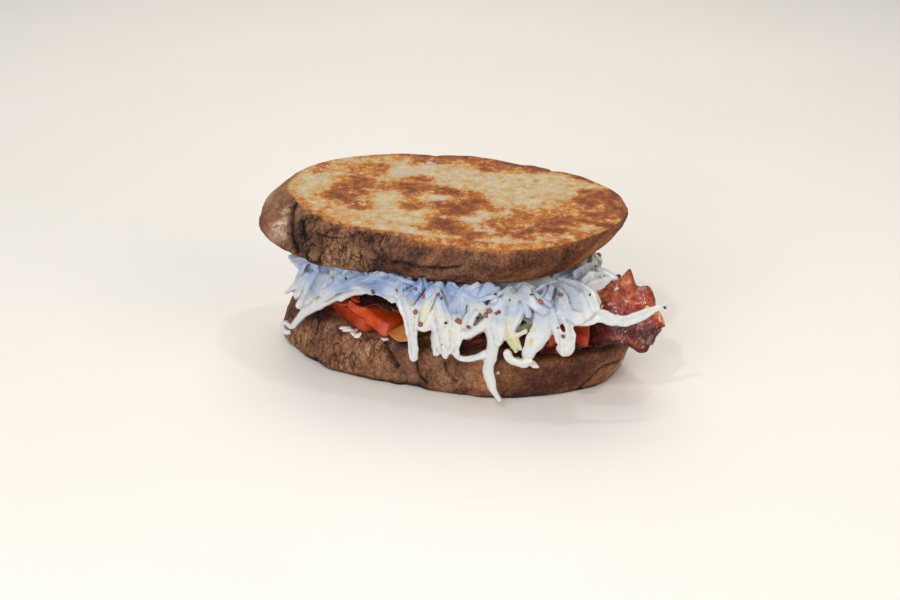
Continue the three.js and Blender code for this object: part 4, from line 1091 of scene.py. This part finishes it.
# A shred: a thin strip with round edges along a smooth curve, broad side outwards, cupped, ribbed and a
# little twisted, with a torn, lumpy outline, and closed to a blunt tip at both ends.
def shred(path, thick, seed, turning=1.0, tones=(0, 1)):
    draw = np.random.default_rng(seed)
    path = np.array(path, float)
    run = easedSteps(slaw["rows"], 0.3)
    centre = curvePoints(path[:, :3], run)
    tangent = unit(np.gradient(centre, axis=0))
    side = unit(np.cross(tangent, centre * [slaw["turnX"], 1, 0]))
    up = np.cross(tangent, side)
    twist = turning * (draw.uniform(-0.4, 0.4) + draw.uniform(-0.7, 0.7) * run)[:, None]
    side, up = side * np.cos(twist) + up * np.sin(twist), up * np.cos(twist) - side * np.sin(twist)
    length = np.linalg.norm(np.diff(centre, axis=0), axis=1).sum()
    width = np.interp(run * (len(path) - 1), np.arange(len(path)), path[:, 3])
    tip = np.clip(np.minimum(run, 1 - run) * length / (0.55 * np.minimum(width, 7)) + 0.03, 0, 1)
    tip = np.sqrt(1 - (1 - tip) ** 2)
    wide = width * tip * (1 + 0.14 * np.sin(run * draw.uniform(4, 9) + seed))
    deep = thick * np.sqrt(tip) * (1 + 0.2 * np.sin(run * draw.uniform(5, 12) + 2 * seed))
    turn = ringAngles(slaw["around"])
    across = np.sign(np.cos(turn)) * np.abs(np.cos(turn)) ** 0.85
    lift = np.sign(np.sin(turn)) * np.abs(np.sin(turn)) ** 0.8
    cup = draw.uniform(-0.45, 0.45) * np.minimum(wide, 4)[:, None] * 0.5 * across ** 2
    ribs = draw.uniform(0.05, 0.22) * deep[:, None] * np.sin(across * draw.uniform(3, 8) + draw.uniform(0, 6))
    points = centre[:, None] + side[:, None] * (across * wide[:, None] / 2)[..., None]
    points = points + up[:, None] * (lift * deep[:, None] / 2 + cup + ribs)[..., None]
    lumps = roughNoise(points + seed, 2.4, 5)[..., None]
    points = centre[:, None] + (points - centre[:, None]) * (1 + slaw["torn"] * lumps)
    tone = tones[0] + (tones[1] - tones[0]) * draw.uniform(0, 1) ** 1.6 + 0.1 * lumps[..., 0]
    look = np.broadcast_arrays(tone, run[:, None] * length, across[None] * wide[:, None], 1.0)
    return ringPart(points, {"look": np.stack(look, axis=-1)})


# Finer shreds all round, except where the front is left open.
def fineShreds():
    rule = slaw["fine"]
    draw = np.random.default_rng(rule["seed"])
    stations = np.linspace(0, 1, 5)
    found = []
    for i in range(rule["count"]):
        angle = 2 * math.pi * (i + draw.uniform(0, 1)) / rule["count"]
        turn = draw.uniform(-1, 1) * draw.uniform(*rule["long"]) / ovalReach(slaw, angle)
        start = draw.uniform(*rule["start"])
        fall = draw.uniform(*rule["drop"]) / (upperSlice["seat"][2] - slaw["low"])
        bow = draw.uniform(-0.2, 0.2) * np.sin(np.pi * stations)
        off = draw.uniform(*rule["lift"]) + draw.uniform(-1, 1) * np.sin(3 * stations)
        wide = draw.uniform(*rule["wide"]) * (1 - draw.uniform(0, 0.5) * stations)
        path = facePoint(angle + turn * stations, np.clip(start - fall * stations + bow, -0.5, 1.0), off)
        x, y, z = path.T
        front = y < slaw["openBefore"]
        if not any((front & (x > left) & (x < right) & (z < low)).any() for left, right, low in slaw["open"]):
            found.append(shred(np.column_stack([path, wide]), draw.uniform(*rule["thick"]), 500 + i))
    return found


# Short shreds that start under the upper slice, come forward and hang down the heap's face.
def veilShreds():
    rule = slaw["veil"]
    draw = np.random.default_rng(rule["seed"])
    stations = np.linspace(0, 1, 5)
    found = []
    for i in range(rule["count"]):
        x = rule["from"] + (rule["to"] - rule["from"]) * (i + draw.uniform(0, 1)) / rule["count"]
        back, front, fall, rise = (
            np.interp(x, *rule[key]) for key in ("topDepth", "faceDepth", "fall", "rise"))
        slope, fall = draw.uniform(-1, 1) * rule["slope"], fall * draw.uniform(0.3, 1.15)
        across = x + draw.uniform(-3, 3) + slope * stations + draw.uniform(-2, 2) * np.sin(3 * stations)
        forward = np.sin(np.pi / 2 * np.minimum(stations * 1.6, 1))
        depth = back + (front - back) * forward + draw.uniform(-0.7, 0.9)
        top = undersideHeight(x, back) + rise - draw.uniform(0, 2)
        wide = draw.uniform(*rule["wide"]) * (1 - draw.uniform(0.1, 0.6) * stations ** 2)
        path = np.column_stack([across, depth, top - fall * stations ** 1.3, wide])
        found.append(shred(path, draw.uniform(*rule["thick"]), 900 + i))
    return found


# A new mesh that has the modifier's work in it.
def modified(piece, kind, **settings):
    modifier = piece.modifiers.new("work", kind)
    for key, value in settings.items():
        setattr(modifier, key, value)
    mesh = bpy.data.meshes.new_from_object(piece.evaluated_get(bpy.context.evaluated_depsgraph_get()))
    piece.modifiers.clear()
    return mesh


# Shreds in one wet mass: joined, remeshed in small cubes so that they run together, and softened. The new
# surface takes its look from the shreds it came from, and dressing gathers on it in low lumps.
def wetMass(name, parts, material, voxel, seed):
    shreds = newObject(name + "_shreds", makeMesh(name + "_shreds", joinParts(parts)))
    piece = newObject(name, modified(shreds, "REMESH", mode="VOXEL", voxel_size=voxel * mm))
    piece.data = modified(piece, "SMOOTH", iterations=slaw["soften"])
    piece.data.attributes.new("look", "FLOAT_COLOR", "POINT")
    piece.data = modified(piece, "DATA_TRANSFER", object=shreds, use_vert_data=True,
                          data_types_verts={"COLOR_VERTEX"}, vert_mapping="POLYINTERP_NEAREST")
    bpy.data.objects.remove(shreds)
    mesh = piece.data
    mesh.name = name
    points, normals = np.empty((2, 3 * len(mesh.vertices)), np.float32)
    mesh.vertices.foreach_get("co", points)
    mesh.vertex_normals.foreach_get("vector", normals)
    points, normals = points.reshape(-1, 3).astype(float) / mm, normals.reshape(-1, 3)
    (tall, spacing), (fineTall, fineSpacing) = slaw["wetLumps"]
    lumps = tall * roughNoise(points, spacing, seed) + fineTall * softNoise(points, fineSpacing, seed + 5)
    points = points + normals * lumps[:, None]
    mesh.vertices.foreach_set("co", (points * mm).astype(np.float32).ravel())
    mesh.update()
    mesh.shade_smooth()
    addPaintedShade(mesh, points)
    finishPiece(piece, material, "slaw")
    return piece


# Painted shade: how far a point lies in under the upper slice, where a cool blue shade is painted on the
# dressing.
def addPaintedShade(mesh, points):
    x, y, z = points.T
    leftward = 1 - smoothStep(x, *slaw["shadeLeft"])
    rightward = 0.5 * smoothStep(x, *slaw["shadeRight"]) + 0.45 * smoothStep(x, *slaw["shadeEnd"])
    patchy = 0.9 + 0.5 * softNoise(points, 3.2, 98)
    under = undersideHeight(x, y) - z + 3 * softNoise(points, 5, 97)
    cool = np.clip((1 - smoothStep(under, 1 + 9 * leftward, 9 + 11 * leftward)) * patchy, 0, 1)
    cool = cool * (1 - rightward) * (1 - 0.25 * leftward) * (1 - 0.7 * smoothStep(y, *slaw["shadeRear"]))
    mark(mesh, "cool", cool)


# Shredded white cabbage in a creamy dressing: translucent, wet, whitish with yellow green ribs.
def slawMaterial():
    material, add = newMaterial("dressed white cabbage")
    look = add("Attribute", attribute_name="look")
    cool = add("Attribute", attribute_name="cool").outputs["Fac"]
    tone, along, across = add("SeparateColor", {"Color": look}).outputs
    grain = add("CombineXYZ", {"X": along, "Y": across, "Z": tone})
    place = add("TexCoord").outputs["Object"]
    # ribs run along each shred: about 8 mm long and 0.8 mm wide
    stretched = add("Mapping", {"Vector": grain, "Scale": (0.12, 1.2, 9.0)})
    ribs = add("TexNoise", {"Vector": stretched, "Scale": 1.0, "Detail": 3.0})
    cream = add("TexNoise", {"Vector": place, "Scale": 330.0, "Detail": 3.0})
    ribbed = add("Math", {0: ribs, 1: 0.9, 2: -0.45}, operation="MULTIPLY_ADD")
    mixed = add("Math", {0: tone, 1: ribbed}, operation="ADD")
    leaf = add("ValToRGB", {"Fac": mixed}, [
        (0.0, "c3c9cf"), (0.35, "d0d2d0"), (0.65, "d1d0c5"), (0.88, "c8c79d"), (1.0, "b6bb80")])
    # painted shade: the hollow folds, where the surface is concave, are made greyer
    paintedFoldShade = add("MapRange", {"Value": add("NewGeometry").outputs["Pointiness"], "From Min": 0.497,
                             "From Max": 0.44, "To Max": 0.85})
    # painted shade: the dressing is tinted cool blue where it lies in under the upper slice
    for share, tint in ((cool, "7390bf"), (paintedFoldShade, "97958a")):
        leaf = add("Mix", {"Factor": share, "A": leaf, "B": colour(tint)}, data_type="RGBA")
    bumps = add("Math", {0: ribs, 1: 0.8, 2: cream}, operation="MULTIPLY_ADD")
    bump = add("Bump", {"Strength": 0.7, "Distance": 0.4 * mm, "Height": bumps})
    # small drops of the dressing, about a millimetre across, that glint
    drops = add("TexNoise", {"Vector": place, "Scale": 900.0, "Detail": 1.0})
    beaded = add("Bump", {"Strength": 0.9, "Distance": 0.5 * mm, "Height": drops, "Normal": bump})
    add("OutputMaterial", {"Surface": add("BsdfPrincipled", {
        "Base Color": leaf, "Roughness": 0.3, "Normal": bump, "Subsurface Weight": 0.2,
        "Subsurface Radius": (1.0, 0.9, 0.7), "Subsurface Scale": 0.9 * mm, "Coat Weight": 0.9,
        "Coat Roughness": 0.07, "Coat Normal": beaded})})
    return material


cabbage = slawMaterial()
hanging = [shred(path, slaw["shredThick"], 200 + i, slaw["mergedTwist"], slaw["mergedTones"])
           for i, path in enumerate(slaw["merged"])]
hanging += [shred(path, slaw["shredThick"], 250 + i) for i, path in enumerate(loosePaths())]
clear = []
for group, step in zip((fineShreds(), veilShreds()), slaw["apart"]):
    clear += group[::step]
    hanging += [part for i, part in enumerate(group) if i % step]
heapPoints, *heapFaces = slawCore()
masses = []
for half, (name, side, voxel) in enumerate(slaw["halves"]):
    # the core is cut flat, a little past the join; side is -1 for the front half and 1 for the rear one
    flat = heapPoints.copy()
    flat[:, 1] = side * np.maximum(side * flat[:, 1], side * slaw["split"] - slaw["overlap"])
    parts = [(flat, *heapFaces)]
    parts += [part for part in hanging if (part[0][:, 1].mean() >= slaw["split"]) == (side > 0)]
    masses.append(wetMass("slaw_" + name + "_mass", parts, cabbage, voxel, 300 + 10 * half))
clear += [shred(path, slaw["crispThick"], 700 + i, tones=slaw["crispTones"])
          for i, path in enumerate(slaw["crisp"])]
clear = joinParts(clear)
addPaintedShade(newPiece("slaw_clear_shreds", clear, cabbage, "slaw").data, clear[0])
print("slaw: two wet masses of", [len(mass.data.polygons) for mass in masses], "faces")

garnish = {
    "plane": -40,  # spots are (x, z) on a plane at this y, and lie where the line of sight through them lands
    "standOff": 12, "seed": 4,
    # the others lie between these half turns round the heap, and these shares of its height
    "round": (-0.2, 1.12), "heights": (-0.1, 0.95),
    # Spots seen from the front and how many more lie all round. Size: half sizes in mm, how far each may
    # differ and how deep it sits. Material: name, dark and light colour, roughness and coat.
    "kinds": {
        "mustard_seeds": {
            "spots": [(-16.5, 39), (-1, 42), (-1, 33), (1, 28.5), (7, 41), (14, 32), (18, 30), (21.5, 27),
                      (24.5, 35.5), (25.5, 37), (28, 36.5), (29, 37.2), (43.5, 43), (50, 46), (51.5, 31),
                      (15, 31.5), (2, 39.5)],
            "more": 36, "size": ((0.95, 0.8, 0.65), 0.2, 0.35),
            "material": ("brown mustard seed", "5a2a20", "8c4a35", 0.4, 0.3)},  # hard, with a dull shine
        "pepper_flecks": {
            "spots": [(-26.5, 42.5), (-31.5, 42.5), (8.5, 39.5), (10, 30.5), (8.5, 22), (60, 47.5),
                      (49.5, 34), (61.5, 58), (85, 46.3), (21, 34), (-24.5, 34.5), (32.5, 42),
                      (27.5, 43.5), (40, 45)],
            "more": 60, "size": ((0.5, 0.38, 0.2), 0.35, 0.1),
            "material": ("cracked black pepper", "17130f", "3a3028", 0.7, 0.0)},  # dry dark flakes
        "mustard_paste_bits": {
            "spots": [(11.5, 27), (79.3, 45.5), (64, 43.5), (41, 32), (40.5, 27.5), (-38, 33.5), (33.5, 24)],
            "more": 14, "size": ((0.85, 0.65, 0.4), 0.3, 0.2),
            "material": ("grainy mustard paste", "bfa04a", "d9c87e", 0.4, 0.4)},  # moist yellow grains
    },
    # x, z and half length, and then their shape
    "dabs": [(-27.5, 23.4, 1.8), (-26, 22.9, 2.2), (-24.2, 22.2, 2.6), (-22.8, 21, 1.5), (-12.5, 21, 1.3),
             (39.5, 20.3, 1.5), (41, 19.3, 1.7), (42, 18.4, 1.2), (36, 20.6, 1.2), (28.8, 14, 0.8),
             (68.6, 50.7, 0.9)],
    "dab": ((1, 0.6, 0.22), 0.1, 0.35),
    "dressing": ("thin creamy dressing", "dcd8cf", "ece8e0", 0.3, 0.6),
    "crumbs": 24, "crumb": ((0.55, 0.4, 0.3), 0.5, 0.1),
    "toast": ("dry toast crumb", "4f3020", "8a5f3c", 0.85, 0.0),
}


# Where straight lines first meet the pieces, and which way the surface faces there.
def landings(starts, ways, trees):
    found = []
    for start, way in zip(starts, ways):
        hits = [tree.ray_cast(Vector(start) * mm, Vector(way).normalized()) for tree in trees]
        hits = [hit for hit in hits if hit[0] is not None]
        if hits:
            place, normal, _, _ = min(hits, key=lambda hit: hit[3])
            found.append((np.array(place) / mm, np.array(normal)))
    return found


# A small body lying on a surface: a lumpy ellipsoid, its short axis along the surface's normal.
def smallBody(place, normal, kind, seed, rows=7, around=9, lumpy=0.25):
    sizes, spread, sink = kind
    draw = np.random.default_rng(seed)
    sizes = np.array(sizes) * draw.uniform(1 - spread, 1 + spread)
    down = np.linspace(0.02, 0.98, rows)[:, None] * np.pi
    turn = ringAngles(around)[None]
    ball = np.broadcast_arrays(np.sin(down) * np.cos(turn), np.sin(down) * np.sin(turn), -np.cos(down))
    ball = np.stack(ball, axis=-1)
    ball = ball * (1 + lumpy * softNoise(ball * 1.3 + seed, 1, 3)[..., None]) * sizes
    first = unit(np.cross(normal, draw.normal(size=3)))
    axes = np.stack([first, np.cross(normal, first), normal])
    points = place + ball @ axes + normal * sizes[2] * (1 - 2 * sink)
    return ringPart(points, {"tone": np.full(points.shape[:2], draw.uniform(0, 1))})


# What is strewn on the slaw, mottled from a dark to a light colour at about half a millimetre.
def garnishMaterial(name, dark, light, roughness, coat):
    material, add = newMaterial(name)
    tone = add("Attribute", attribute_name="tone").outputs["Fac"]
    mottle = add("TexNoise", {"Vector": add("TexCoord").outputs["Object"], "Scale": 1500.0, "Detail": 2.0})
    mixed = add("Math", {0: mottle, 1: tone}, operation="ADD")
    tint = add("ValToRGB", {"Fac": mixed}, [(0.35, dark), (1.0, light)])
    bump = add("Bump", {"Strength": 0.4, "Distance": 0.15 * mm, "Height": mottle})
    add("OutputMaterial", {"Surface": add("BsdfPrincipled", {
        "Base Color": tint, "Roughness": roughness, "Normal": bump,
        "Coat Weight": coat, "Coat Roughness": 0.1})})
    return material


def dressWithGarnish():
    depsgraph = bpy.context.evaluated_depsgraph_get()
    kinds = ("slaw_", "bacon_rasher", "sourdough", "tomato_wedge", "cheese_sheet")
    carriers = [item for item in bpy.context.scene.objects if item.name.startswith(kinds)]
    trees = [BVHTree.FromObject(item, depsgraph) for item in carriers]
    heapTrees = [tree for tree, item in zip(trees, carriers) if item.name.startswith("slaw_")]
    eye = np.array(view["seat"])
    draw = np.random.default_rng(garnish["seed"])

    def seen(spots):
        ways = [np.array([x, garnish["plane"], z]) - eye for x, z in spots]
        return landings([eye] * len(spots), ways, trees)

    # from outside the heap, level, towards its middle
    def inward(angles, heights):
        outside = facePoint(angles, heights, garnish["standOff"])
        return landings(outside, np.array([*slaw["seat"], 0]) - outside * [1, 1, 0], heapTrees)

    counts = {}
    for name, row in garnish["kinds"].items():
        angles = draw.uniform(*garnish["round"], row["more"]) * np.pi
        heights = draw.uniform(*garnish["heights"], row["more"])
        places = seen(row["spots"]) + inward(angles, heights)
        bodies = [smallBody(*place, row["size"], 40 * i + len(name)) for i, place in enumerate(places)]
        newPiece(name, joinParts(bodies), garnishMaterial(*row["material"]))
        counts[name] = len(bodies)

    # thin dressing that has run on to the crust, in low flat dabs
    dabs = []
    for i, (x, z, size) in enumerate(garnish["dabs"]):
        sizes, differ, sink = garnish["dab"]
        kind = (size * np.array(sizes), differ, sink)
        dabs += [smallBody(*place, kind, 60 + i, 18, 28, 0.5) for place in seen([(x, z)])]
    newPiece("dressing_dabs", joinParts(dabs), garnishMaterial(*garnish["dressing"]))

    # toast crumbs caught in the slaw under the upper slice's edge
    crumbs = []
    for i in range(garnish["crumbs"]):
        angle, height = draw.uniform(0, 2 * np.pi), draw.uniform(0.8, 1.0)
        crumbs += [smallBody(*place, garnish["crumb"], 900 + i, 6, 8, 0.5)
                   for place in inward(np.array([angle]), np.array([height]))]
    newPiece("toast_crumbs", joinParts(crumbs), garnishMaterial(*garnish["toast"]))
    return counts


print("garnish:", dressWithGarnish())
